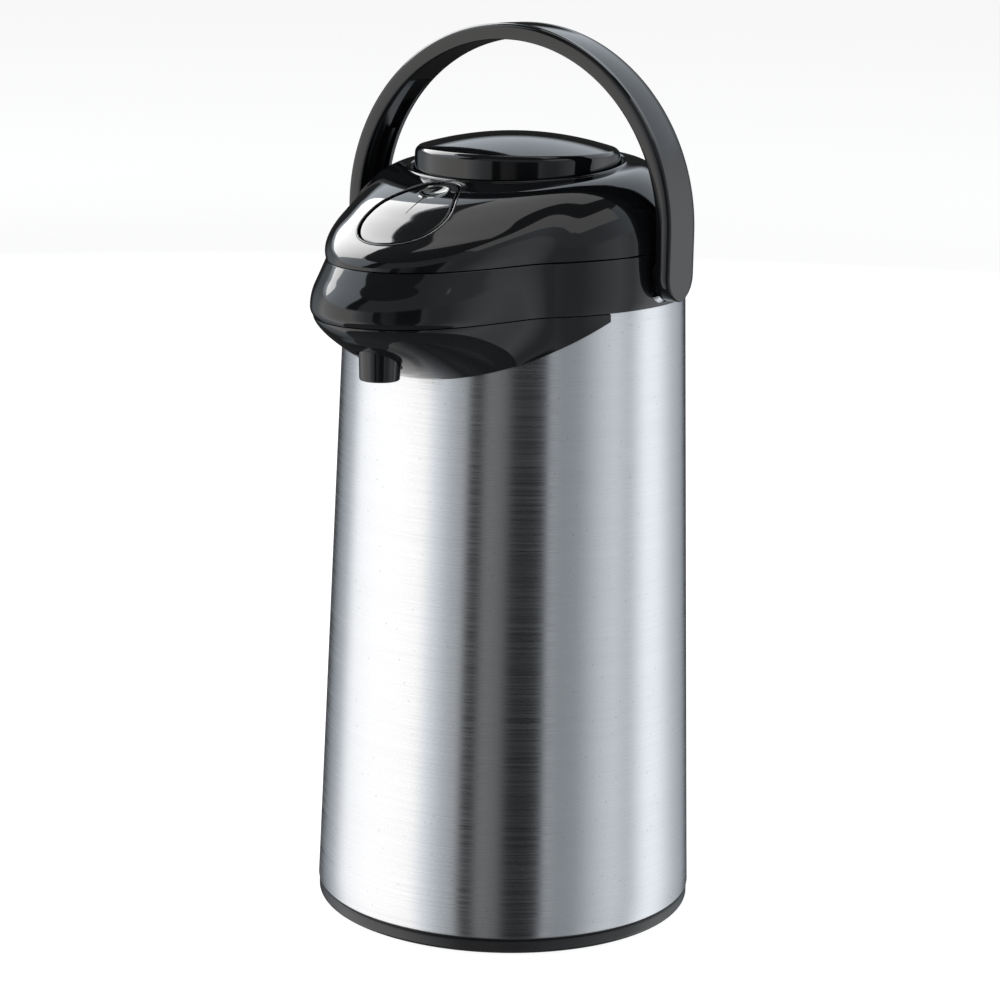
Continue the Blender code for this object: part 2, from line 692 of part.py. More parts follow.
def handle_pocket(name, sign):
    """The recess in the head's side round a handle leg: a flat floor, a round bottom, open upwards."""
    half = HANDLE_WIDTH / 2 + POCKET_GAP
    outline = [(half, 0.05), (-half, 0.05)]
    outline += [
        (-half * math.cos(math.pi * i / 10), -half * math.sin(math.pi * i / 10)) for i in range(11)
    ]
    ends = [
        [Vector((sign * x, y, PIVOT_HEIGHT + z)) for y, z in outline]
        for x in (POCKET_FLOOR, HANDLE_OUTER + 0.005)
    ]
    tool = bpy.data.objects.get(f"handle_pocket_{name}")
    return tool or loft(f"handle_pocket_{name}", ends, None, closed=False)


def chin_height(angle):
    """Height of the beak's lower edge, where it meets the steel."""
    return BODY_EDGE_HEIGHT - CHIN_DROP * math.cos(1.25 * angle)


def make_beak_underside():
    """The curved plate that closes the beak from below, from the collar's edge back to the steel."""
    columns, rows = 24, 5
    side = BODY_TOP_RADIUS + COLLAR_OVERHANG
    outer, inner = [], []
    for i in range(columns + 1):
        angle = CHIN_HALF_ANGLE * (2 * i / columns - 1)
        start = plan_point(angle, side, BEAK_REACH, 0.0)
        start_radius = math.hypot(start.x, start.y)
        start_height = lower_edge_height(angle) - GAP
        out_row, in_row = [], []
        for j in range(rows + 1):
            share = j / rows
            height = start_height + (chin_height(angle) - start_height) * share**0.7
            end_radius = body_radius(height) + GAP + CHIN_EDGE
            radius = start_radius + (end_radius - start_radius) * share
            back = max(radius - 0.0030, body_radius(height) + GAP)
            out_row.append(Vector((radius * math.sin(angle), -radius * math.cos(angle), height)))
            in_row.append(Vector((back * math.sin(angle), -back * math.cos(angle), height)))
        outer.append(out_row)
        inner.append(in_row)
    rings = [out_row + in_row[::-1] for out_row, in_row in zip(outer, inner)]
    plate = loft("beak_underside", rings, "gloss_black", closed=False)
    cut(plate, rod(
        "spout_hole", SPOUT_TOP_RADIUS + GAP, (0, -SPOUT_REACH, SPOUT_FOOT - 0.0115),
        (0, -SPOUT_REACH, SEAM_HEIGHT - 0.0020), segments=24,
    ))


def make_spout():
    top = DECK_TOP - DECK_THICKNESS - GAP
    socket = TUBE_RADIUS + GAP
    turned(
        "spout_nozzle",
        [
            (SPOUT_RADIUS - 0.0008, SPOUT_FOOT), (SPOUT_RADIUS, SPOUT_FOOT + 0.0008),
            (SPOUT_TOP_RADIUS, SPOUT_FOOT + 0.0185), (SPOUT_TOP_RADIUS, top - 0.0037),
            (SPOUT_TOP_RADIUS + 0.0028, top - 0.0037), (SPOUT_TOP_RADIUS + 0.0028, top),
            (socket, top), (socket, SPOUT_FOOT + 0.0140), (SPOUT_BORE, SPOUT_FOOT + 0.0130),
            (SPOUT_BORE, SPOUT_FOOT + 0.0030), (SPOUT_RADIUS - 0.0024, SPOUT_FOOT),
        ],
        "gloss_black",
        location=(0, -SPOUT_REACH, 0),
        segments=24,
    )


def make_delivery():
    """Dip tube, tip-over valve, and the elbow that runs over the collar's deck to the spout."""
    seat = CAGE_BASE + 0.0020
    chamber_top = seat + ball_rest_lift() + BALL_RADIUS + BALL_TRAVEL + GAP
    elbow_low = chamber_top + 0.0020 + GAP
    bend_low = TUBE_HEIGHT - TUBE_BEND
    turns = [math.pi / 2 * i / 4 for i in range(5)]
    path = [Vector((0, 0, elbow_low)), Vector((0, 0, bend_low - 0.0005))]
    for turn in turns:
        path.append(Vector((0, TUBE_BEND * (math.cos(turn) - 1), bend_low + TUBE_BEND * math.sin(turn))))
    spout_bend = TUBE_BEND - SPOUT_REACH
    for turn in turns:
        forward = spout_bend - TUBE_BEND * math.sin(turn)
        path.append(Vector((0, forward, bend_low + TUBE_BEND * math.cos(turn))))
    path.append(Vector((0, -SPOUT_REACH, SPOUT_FOOT + 0.0140 + GAP)))
    pipe("delivery_elbow", path, TUBE_RADIUS, TUBE_WALL, "tube_plastic")
    inner = TUBE_RADIUS + GAP
    seal = turned(
        "tube_seal",
        [
            (inner, -0.0015), (inner, 0.0060), (inner + 0.4 * TUBE_SEAL_WALL, 0.0060),
            (inner + TUBE_SEAL_WALL, 0.0045), (inner + TUBE_SEAL_WALL, -0.0015),
        ],
        "rubber",
        location=(0, -CHIMNEY_RADIUS, TUBE_HEIGHT),
        segments=24,
    )
    seal.rotation_euler = (math.radians(90), 0, 0)
    cage = [
        (DIP_RADIUS + GAP, CAGE_BASE - 0.0080), (DIP_RADIUS + GAP, CAGE_BASE + GAP),
        (BALL_SEAT_RADIUS, CAGE_BASE + GAP), (BALL_SEAT_RADIUS, seat), (BALL_RADIUS + 0.0012, seat),
        (BALL_RADIUS + 0.0012, chamber_top), (0.0026, chamber_top), (0.0026, elbow_low - GAP),
        (inner, elbow_low - GAP), (inner, elbow_low + 0.0045), (CAGE_RADIUS, elbow_low + 0.0045),
        (CAGE_RADIUS, CAGE_BASE), (CAGE_RADIUS - 0.0018, CAGE_BASE - 0.0080),
    ]
    turned("valve_cage", cage, "tube_plastic", segments=20)
    bm = bmesh.new()
    bmesh.ops.create_uvsphere(bm, u_segments=12, v_segments=8, radius=BALL_RADIUS)
    ball = add_object("spill_ball", finish_mesh(bm, "spill_ball"), "pin_steel")
    ball.location = (0, 0, seat + ball_rest_lift())
    turned(
        "dip_tube",
        [
            (DIP_RADIUS - DIP_WALL, LINER_FLOOR + DIP_FLOOR_GAP), (DIP_RADIUS - DIP_WALL, CAGE_BASE),
            (DIP_RADIUS, CAGE_BASE), (DIP_RADIUS, LINER_FLOOR + DIP_FLOOR_GAP),
        ],
        "tube_plastic",
        segments=24,
    )


def ball_rest_lift():
    """Height of the ball's centre over its seat."""
    return math.sqrt(BALL_RADIUS**2 - BALL_SEAT_RADIUS**2) + GAP


# ---------------------------------------------------------------- lid
def lever_outline(grow):
    """The release lever's outline as (x, reach) points: a narrow round rear, a wide round front."""
    rear, front = LEVER_REAR_WIDTH / 2, LEVER_FRONT_WIDTH / 2
    rear_centre = LEVER_REAR + rear
    front_centre = LEVER_FRONT - front
    lean = math.asin((front - rear) / (front_centre - rear_centre))
    points = []
    for i in range(13):
        turn = -lean + (math.pi + 2 * lean) * i / 12
        points.append(((front + grow) * math.cos(turn), front_centre + (front + grow) * math.sin(turn)))
    for i in range(9):
        turn = math.pi + lean + (math.pi - 2 * lean) * i / 8
        points.append(((rear + grow) * math.cos(turn), rear_centre + (rear + grow) * math.sin(turn)))
    return points


def lever_prism(name, grow):
    low, high = SEAM_HEIGHT - 0.0020, SEAM_HEIGHT + 0.0430
    ends = [[Vector((x, -reach, z)) for x, reach in lever_outline(grow)] for z in (low, high)]
    return loft(name, ends, None, closed=False)


def dome_rings(inset, drop, first, last, stations):
    """Rings of the dome from one share of its height to another, moved in and down."""
    rings = []
    for i in range(stations):
        side, reach, height, front, rear, half = dome_section(first + (last - first) * i / (stations - 1))
        rings.append(egg_ring(side - inset, reach - inset, height - drop, front, rear, half))
    return rings


def lid_plate_low():
    return CHIMNEY_TOP + LID_GASKET_HEIGHT + 2 * GAP


def make_lid_cover():
    well = BUTTON_RADIUS + SLIDE_GAP
    sleeve_radius = well + SLEEVE_WALL
    rim_side, _, rim_height, rim_front, rim_rear, _ = dome_section(1.0)
    outside = dome_rings(0.0, 0.0, 0.0, 1.0, 12)
    outside[0] = egg_ring(SEAM_SIDE, SEAM_REACH, SEAM_HEIGHT + GAP / 2, SEAM_SLOPE)
    rim = [
        egg_ring(rim_side - 0.0008, rim_side - 0.0008, rim_height + 0.0006, rim_front, rim_rear),
        egg_ring(well, well, rim_height + 0.0002, rim_front, rim_rear),
    ]
    sleeve = [
        round_ring(well, SLEEVE_FOOT), round_ring(sleeve_radius, SLEEVE_FOOT),
        egg_ring(sleeve_radius, sleeve_radius, rim_height - LID_WALL - 0.0004, rim_front, rim_rear),
    ]
    inside = dome_rings(LID_WALL, LID_WALL * 0.9, 0.86, 0.14, 5)
    foot = egg_ring(SEAM_SIDE - LID_WALL, SEAM_REACH - LID_WALL, SEAM_HEIGHT + GAP / 2, SEAM_SLOPE)
    cover = loft("lid_cover", outside + rim + sleeve + inside + [foot], "gloss_black")
    for name, sign in (("right", 1), ("left", -1)):
        x = sign * (LEVER_FRONT_WIDTH / 2 + 0.0028)
        top = roof_height(x, -LEVER_PIVOT_REACH, 0.0034)
        join(cover, block(
            f"lever_lug_{name}", (x - 0.0015, -LEVER_PIVOT_REACH - 0.0030, lever_pivot_height() - 0.0032),
            (x + 0.0015, -LEVER_PIVOT_REACH + 0.0030, top),
        ))
        cut(cover, handle_pocket(name, sign))
    for i, angle in enumerate(LID_SCREW_ANGLES):
        x, y = LID_SCREW_CIRCLE * math.sin(angle), -LID_SCREW_CIRCLE * math.cos(angle)
        low = lid_plate_low() + LID_PLATE_THICKNESS + GAP
        join(cover, rod(f"lid_boss_{i + 1}", 0.0038, (x, y, low), (x, y, roof_height(x, y, 0.0038))))
        cut(cover, rod(f"lid_boss_hole_{i + 1}", 0.0017, (x, y, low - 0.001), (x, y, low + 0.0100)))
    cut(cover, lever_prism("lever_slot", LEVER_SLOT_GAP))
    join(cover, rod(
        "lid_knuckle", KNUCKLE_RADIUS, (-KNUCKLE_HALF_WIDTH, HINGE_REACH, HINGE_HEIGHT),
        (KNUCKLE_HALF_WIDTH, HINGE_REACH, HINGE_HEIGHT),
    ))
    join(cover, block(
        "lid_web", (-KNUCKLE_HALF_WIDTH, SEAM_SIDE - 0.0022, SEAM_HEIGHT + 0.0008),
        (KNUCKLE_HALF_WIDTH, HINGE_REACH, SEAM_HEIGHT + 0.0030),
    ))
    cut(cover, bpy.data.objects["hinge_hole"])
    cut(cover, rod(
        "lever_pin_hole", LEVER_PIN_RADIUS + GAP, (-0.030, -LEVER_PIVOT_REACH, lever_pivot_height()),
        (0.030, -LEVER_PIVOT_REACH, lever_pivot_height()),
    ))


def lever_pivot_height():
    return dome_height(0, -LEVER_PIVOT_REACH) - LEVER_PIVOT_DROP


def make_lid_base():
    low = lid_plate_low()
    high = low + LID_PLATE_THICKNESS
    side = SEAM_SIDE - LID_WALL - 0.0011
    reach = SEAM_REACH - LID_WALL - 0.0090
    seat = BELLOWS_RADIUS + GAP
    rings = [
        egg_ring(side, reach, low), egg_ring(side, reach, high), round_ring(seat + 0.0018, high),
        round_ring(seat + 0.0018, high + 0.0025), round_ring(seat, high + 0.0025), round_ring(seat, high),
        round_ring(0.0030, high), round_ring(0.0030, low), round_ring(CHIMNEY_RADIUS - 0.0055, low),
        round_ring(CHIMNEY_RADIUS - 0.0055, CHIMNEY_TOP - 0.0022),
        round_ring(CHIMNEY_RADIUS - 0.0025, CHIMNEY_TOP - 0.0022), round_ring(CHIMNEY_RADIUS - 0.0025, low),
    ]
    base = loft("lid_base", rings, "inner_plastic")
    for i, angle in enumerate(LID_SCREW_ANGLES):
        x, y = LID_SCREW_CIRCLE * math.sin(angle), -LID_SCREW_CIRCLE * math.cos(angle)
        cut(base, rod(f"lid_base_hole_{i + 1}", 0.0017, (x, y, low - 0.002), (x, y, high + 0.002)))
        screw(f"lid_screw_{i + 1}", (x, y, low - GAP), 0.0029, 0.0018, 0.0013, 0.0095)
    for name, sign in (("right", 1), ("left", -1)):
        x = HOOK_OFFSET * sign
        half = HOOK_WIDTH / 2 + 0.0010
        cut(base, block(
            f"hook_slot_{name}", (x - half, -HOOK_REACH - 0.0058, low - 0.002),
            (x + half, -HOOK_REACH + 0.0048, high + 0.002),
        ))
    turned(
        "lid_gasket",
        [
            (CHIMNEY_RADIUS - 0.0022, CHIMNEY_TOP + GAP), (CHIMNEY_RADIUS - 0.0022, low - GAP),
            (CHIMNEY_RADIUS + CHIMNEY_WALL + 0.0015, low - GAP),
            (CHIMNEY_RADIUS + CHIMNEY_WALL + 0.0015, CHIMNEY_TOP + GAP),
        ],
        "rubber",
    )
    turned(
        "outlet_valve_flap",
        [(0.0, high + GAP), (0.0062, high + GAP), (0.0062, high + 0.0012), (0.0, high + 0.0018)],
        "rubber",
        segments=24,
        loop=False,
    )


# ---------------------------------------------------------------- push button and pump
def plate_high():
    return BUTTON_TOP - BUTTON_CROWN - 0.0040


def make_button():
    rim = BUTTON_RADIUS - 0.0022
    rim_height = BUTTON_TOP - BUTTON_CROWN
    steps = 6
    top = [(rim * i / steps, BUTTON_TOP - BUTTON_CROWN * (i / steps) ** 2) for i in range(steps + 1)]
    inner_rim = BUTTON_RADIUS - BUTTON_WALL
    inner_crown = BUTTON_CROWN - 0.0005
    shares = [1 - i / 4 for i in range(5)]
    under = [(inner_rim * s, rim_height - BUTTON_WALL + inner_crown * (1 - s * s)) for s in shares]
    skirt_foot = lid_plate_low() + LID_PLATE_THICKNESS + BUTTON_TRAVEL + BUTTON_STOP_GAP
    profile = top + [
        (BUTTON_RADIUS - 0.0006, rim_height - 0.0012), (BUTTON_RADIUS, rim_height - 0.0035),
        (BUTTON_RADIUS, skirt_foot), (inner_rim, skirt_foot),
    ] + under
    button = turned("push_button", profile, "gloss_black", loop=False)
    plate_top = plate_high()
    plate_low = plate_top - PLATE_THICKNESS
    plate = turned(
        "bellows_plate",
        [(0.0025, plate_low), (0.0025, plate_top), (PLATE_RADIUS, plate_top), (PLATE_RADIUS, plate_low)],
        "inner_plastic",
    )
    for i in range(3):
        angle = 2 * math.pi * i / 3 + math.pi / 2
        x, y = PLATE_SCREW_CIRCLE * math.cos(angle), PLATE_SCREW_CIRCLE * math.sin(angle)
        share = PLATE_SCREW_CIRCLE / rim
        roof = BUTTON_TOP - BUTTON_CROWN * share**2
        join(button, rod(f"plate_boss_{i + 1}", 0.0026, (x, y, plate_top + GAP), (x, y, roof - 0.0010)))
        hole = rod(f"plate_screw_hole_{i + 1}", 0.0013, (x, y, plate_low - 0.002), (x, y, roof - 0.0014))
        cut(button, hole)
        cut(plate, hole)
        length = roof - 0.0014 - plate_low
        screw(f"plate_screw_{i + 1}", (x, y, plate_low - GAP), 0.0024, 0.0016, 0.0010, length)
    low = lid_plate_low() + LID_PLATE_THICKNESS + GAP
    high = plate_low - GAP
    outside, inside = [], []
    points = 2 * BELLOWS_FOLDS
    for i in range(points + 1):
        height = low + (high - low) * i / points
        radius = BELLOWS_RADIUS - (BELLOWS_DEPTH if i % 2 else 0.0)
        outside.append((radius, height))
        inside.append((radius - BELLOWS_WALL, height))
    turned("bellows", outside + inside[::-1], "rubber", segments=24)
    coil(
        "button_spring", BUTTON_SPRING_RADIUS, BUTTON_SPRING_WIRE, low, high, BUTTON_SPRING_TURNS,
        "pin_steel",
    )
    turned(
        "intake_valve_flap",
        [(0.0, high - 0.0020), (0.0058, high - 0.0012), (0.0058, high), (0.0, high)],
        "rubber",
        segments=24,
        loop=False,
    )


# ---------------------------------------------------------------- release lever
def make_lever():
    inset = dome_rings(0.0, 0.0006, 0.02, 0.985, 13)
    under = dome_rings(0.0, 0.0006 + LID_WALL, 0.985, 0.02, 13)
    lever = loft("release_lever", inset + under, "gloss_black")
    combine(lever, lever_prism("lever_blank", 0.0), "INTERSECT")
    pivot = lever_pivot_height()
    boss_front = -LEVER_PIVOT_REACH - 0.0028
    join(lever, block(
        "lever_boss", (-0.0120, boss_front, pivot - 0.0028),
        (0.0120, -LEVER_PIVOT_REACH + 0.0028, dome_height(0.0120, boss_front) - 0.0006 - LID_WALL / 2),
    ))
    roof = dome_height(HOOK_OFFSET, -HOOK_REACH) - 0.0016
    for name, sign in (("right", 1), ("left", -1)):
        x = HOOK_OFFSET * sign
        half = HOOK_WIDTH / 2
        join(lever, block(
            f"hook_leg_{name}", (x - half, -HOOK_REACH - 0.0012, HOOK_FOOT),
            (x + half, -HOOK_REACH + 0.0012, roof),
        ))
        join(lever, block(
            f"hook_nose_{name}", (x - half, -HOOK_REACH, HOOK_FOOT),
            (x + half, -HOOK_REACH + 0.0021, HOOK_FOOT + 0.0028),
        ))
    cut(lever, rod(
        "lever_boss_hole", LEVER_PIN_RADIUS + GAP, (-0.03, -LEVER_PIVOT_REACH, pivot),
        (0.03, -LEVER_PIVOT_REACH, pivot),
    ))
    dimple = bmesh.new()
    bmesh.ops.create_uvsphere(dimple, u_segments=24, v_segments=16, radius=0.0130)
    sink = add_object("dimple", finish_mesh(dimple, "dimple"), None)
    reach = LEVER_REAR + 0.0105
    sink.location = (0, -reach, dome_height(0, -reach) + 0.0108)
    cut(lever, sink)
    reach_out = LEVER_FRONT_WIDTH / 2 + 0.0040
    rod(
        "lever_pin", LEVER_PIN_RADIUS, (-reach_out, -LEVER_PIVOT_REACH, pivot),
        (reach_out, -LEVER_PIVOT_REACH, pivot), "pin_steel",
    )
    spring_reach = LEVER_REAR + 0.0065
    base = lid_plate_low() + LID_PLATE_THICKNESS + GAP
    top = dome_height(0, -spring_reach - 0.0030) - 0.0006 - LID_WALL - 2 * GAP
    coil("lever_spring", 0.0026, 0.0004, base, top, 4, "pin_steel", location=(0, -spring_reach))


# ---------------------------------------------------------------- hinge, pivots and handle
def make_hinge_pin():
    rod(
        "hinge_pin", HINGE_PIN_RADIUS, (-HINGE_HALF_LENGTH, HINGE_REACH, HINGE_HEIGHT),
        (HINGE_HALF_LENGTH, HINGE_REACH, HINGE_HEIGHT), "pin_steel",
    )


def make_pivots():
    boss_in = SEAM_SIDE - COLLAR_WALL - 0.0045
    pin_end = HANDLE_OUTER - 0.0022
    head = PIVOT_PIN_RADIUS + 0.0022
    profile = [
        (0.0, pin_end), (PIVOT_PIN_RADIUS, pin_end), (PIVOT_PIN_RADIUS, boss_in - GAP),
        (head, boss_in - GAP), (head, boss_in - 0.0020), (0.0, boss_in - 0.0020),
    ]
    for name, sign in (("right", 1), ("left", -1)):
        pin = turned(
            f"pivot_pin_{name}", profile, "pin_steel", location=(0, 0, PIVOT_HEIGHT), segments=24, loop=False
        )
        pin.rotation_euler = (0, math.radians(90 * sign), 0)


def handle_section(centre, outward):
    """A rounded strip section: a flat outer face, softer inner edges."""
    half_width, half_thick = HANDLE_WIDTH / 2, HANDLE_THICKNESS / 2
    corner = 0.0022
    across = Vector((0, 1, 0))
    points = []
    for sy, sx, start in ((1, 1, 0), (-1, 1, 90), (-1, -1, 180), (1, -1, 270)):
        for k in range(3):
            turn = math.radians(start + 45 * k)
            along = sy * (half_width - corner) + corner * math.cos(turn)
            out = sx * (half_thick - corner) + corner * math.sin(turn)
            points.append(centre + across * along + outward * out)
    return points


def make_handle():
    middle = HANDLE_OUTER - HANDLE_THICKNESS / 2
    inner = HANDLE_OUTER - HANDLE_THICKNESS
    sections = []
    for i in range(3):
        height = PIVOT_HEIGHT + (HANDLE_ARCH_HEIGHT - PIVOT_HEIGHT) * i / 3
        sections.append(handle_section(Vector((middle, 0, height)), Vector((1, 0, 0))))
    steps = 20
    for i in range(steps + 1):
        turn = math.pi * i / steps
        out = Vector((math.cos(turn), 0, math.sin(turn)))
        sections.append(handle_section(Vector((0, 0, HANDLE_ARCH_HEIGHT)) + out * middle, out))
    for i in range(2, -1, -1):
        height = PIVOT_HEIGHT + (HANDLE_ARCH_HEIGHT - PIVOT_HEIGHT) * i / 3
        sections.append(handle_section(Vector((-middle, 0, height)), Vector((-1, 0, 0))))
    handle = loft("handle", sections, "gloss_black", closed=False)
    for name, sign in (("right", 1), ("left", -1)):
        join(handle, rod(
            f"leg_end_{name}", HANDLE_WIDTH / 2 - GAP / 3, (sign * (inner + GAP), 0, PIVOT_HEIGHT),
            (sign * (HANDLE_OUTER - GAP), 0, PIVOT_HEIGHT), segments=20,
        ))
        join(handle, rod(
            f"pivot_lug_{name}", PIVOT_LUG_RADIUS, (sign * (POCKET_FLOOR + GAP), 0, PIVOT_HEIGHT),
            (sign * (inner + 0.001), 0, PIVOT_HEIGHT), segments=20,
        ))
        cut(handle, rod(
            f"leg_bore_{name}", PIVOT_PIN_RADIUS + GAP, (sign * 0.070, 0, PIVOT_HEIGHT),
            (sign * (HANDLE_OUTER - 0.0018), 0, PIVOT_HEIGHT),
        ))


def place_moving_pieces():
    """Each moving group hangs from an empty on its joint's axis."""
    parts = bpy.data.objects
    lid_axis = axis_empty("lid_axis", (0, HINGE_REACH, HINGE_HEIGHT))
    button_axis = axis_empty("button_axis", (0, 0, BUTTON_TOP))
    lever_axis = axis_empty("lever_axis", (0, -LEVER_PIVOT_REACH, lever_pivot_height()))
    handle_axis = axis_empty("handle_axis", (0, 0, PIVOT_HEIGHT))
    ball_axis = axis_empty("ball_axis", parts["spill_ball"].location)
    lid_names = [
        "lid_cover", "lid_base", "lid_gasket", "outlet_valve_flap", "lever_pin", "lever_spring", "bellows",
        "button_spring", "lid_screw_1", "lid_screw_2", "lid_screw_3", "lid_screw_4",
    ]
    button_names = [
        "push_button", "bellows_plate", "intake_valve_flap", "plate_screw_1", "plate_screw_2",
        "plate_screw_3",
    ]
    place_on(lid_axis, *(parts[name] for name in lid_names))
    place_on(button_axis, *(parts[name] for name in button_names))
    place_on(lever_axis, parts["release_lever"])
    place_on(handle_axis, parts["handle"])
    place_on(ball_axis, parts["spill_ball"])


def centre_pot():
    """Hang everything from one empty that puts the middle of the pot over the origin."""
    loose = [piece for piece in bpy.data.objects if piece.parent is None]
    middle = axis_empty("pot_middle", (0, pot_shift(), 0))
    for piece in loose:
        piece.parent = middle


def main():
    clear_scene()
    make_base()
    make_shell()
    make_liner()
    make_collar()
    make_beak_underside()
    make_spout()
    make_delivery()
    make_lid_cover()
    make_lid_base()
    make_button()
    make_lever()
    make_hinge_pin()
    make_pivots()
    make_handle()
    place_moving_pieces()
    centre_pot()


main()
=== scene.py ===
"""The looks of a push-button thermal airpot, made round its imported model.

Metres, +Z up, with the spout along -Y. AXIS is the foot of the body's own axis. Angles round it are
measured from the spout towards +X.
"""

import json
import logging
import math
from collections.abc import Sequence
from dataclasses import dataclass
from dataclasses import fields
from dataclasses import replace
from enum import Enum

import bmesh
import bpy
from mathutils import Matrix
from mathutils import Vector


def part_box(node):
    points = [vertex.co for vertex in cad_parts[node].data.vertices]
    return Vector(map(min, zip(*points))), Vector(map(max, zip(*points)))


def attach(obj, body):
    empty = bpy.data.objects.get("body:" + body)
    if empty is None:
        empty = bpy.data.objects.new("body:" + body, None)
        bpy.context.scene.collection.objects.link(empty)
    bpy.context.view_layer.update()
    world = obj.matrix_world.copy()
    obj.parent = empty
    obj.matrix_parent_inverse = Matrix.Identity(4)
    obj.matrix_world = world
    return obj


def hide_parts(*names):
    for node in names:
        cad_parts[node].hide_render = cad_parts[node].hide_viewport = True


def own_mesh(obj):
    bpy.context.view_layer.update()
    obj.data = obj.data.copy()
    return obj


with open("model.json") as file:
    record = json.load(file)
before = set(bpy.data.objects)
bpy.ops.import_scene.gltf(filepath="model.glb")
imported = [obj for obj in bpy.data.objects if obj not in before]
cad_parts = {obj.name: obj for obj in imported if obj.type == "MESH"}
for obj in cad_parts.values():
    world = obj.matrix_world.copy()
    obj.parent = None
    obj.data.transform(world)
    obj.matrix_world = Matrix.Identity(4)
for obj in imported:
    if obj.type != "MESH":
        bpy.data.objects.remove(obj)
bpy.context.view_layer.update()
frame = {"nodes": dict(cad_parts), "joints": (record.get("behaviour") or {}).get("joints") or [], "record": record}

LOG = logging.getLogger("airpot")

STEEL_LOW, STEEL_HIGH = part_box("outer_shell")
AXIS = Vector((0.0, (STEEL_LOW.y + STEEL_HIGH.y) / 2, 0.0))
BEAK_HALF_ANGLE = math.radians(47)
FALL_EASE = 0.030
SMOOTH_UP_TO = math.radians(38)
GAP = 0.0003

# The latch: two hooks on the lever, under two posts in the collar
HOOK_OFFSET, HOOK_HALF = 0.0095, 0.0020
HOOK_REACH, HOOK_FOOT = 0.0953, 0.2905
POST_REACH, CATCH_TOP = 0.0908, 0.2975
# The lid's hinge
KNUCKLE_RADIUS, KNUCKLE_HALF = 0.0040, 0.0090


class Body(Enum):
    """The bodies that pieces ride on."""

    POT = "pot"
    LID = "lid"
    BUTTON = "button"
    LEVER = "lever"
    HANDLE = "handle"


class Slot(Enum):
    """The material slots of the record."""

    STEEL = "brushed_steel"
    PIN = "pin_steel"
    GLOSS = "gloss_black"
    BASE = "base_black"
    INNER = "inner_plastic"
    TUBE = "tube_plastic"
    RUBBER = "rubber"
    MIRROR = "silvered_glass"


# ------------------------------------------------------------------ node trees
class Board:
    """A node tree while it is wired."""

    def __init__(self, tree: bpy.types.NodeTree) -> None:
        """Takes the tree that the nodes go into."""
        self.tree = tree

    def add(self, kind: str, inputs: dict | None = None, **settings: object) -> bpy.types.Node:
        """Adds a node.

        Args:
            kind: the node's type name.
            inputs: what each input holds, a value or another node's output socket.
            settings: the node's own properties.

        Returns:
            The new node.
        """
        node = self.tree.nodes.new(kind)
        for key, value in settings.items():
            setattr(node, key, value)
        for key, value in (inputs or {}).items():
            if isinstance(value, bpy.types.NodeSocket):
                self.tree.links.new(value, node.inputs[key])
            else:
                node.inputs[key].default_value = value
        return node

    def sockets(self, names: dict[str, str], side: str) -> None:
        """Names the tree's own inputs or outputs, with each one's socket type."""
        for name, kind in names.items():
            self.tree.interface.new_socket(name=name, in_out=side, socket_type=kind)


def shader_group(name: str, inputs: dict[str, str], outputs: dict[str, str]) -> Board:
    """Starts a shader node group with named sockets."""
    board = Board(bpy.data.node_groups.new(name, "ShaderNodeTree"))
    board.sockets(inputs, "INPUT")
    board.sockets(outputs, "OUTPUT")
    return board


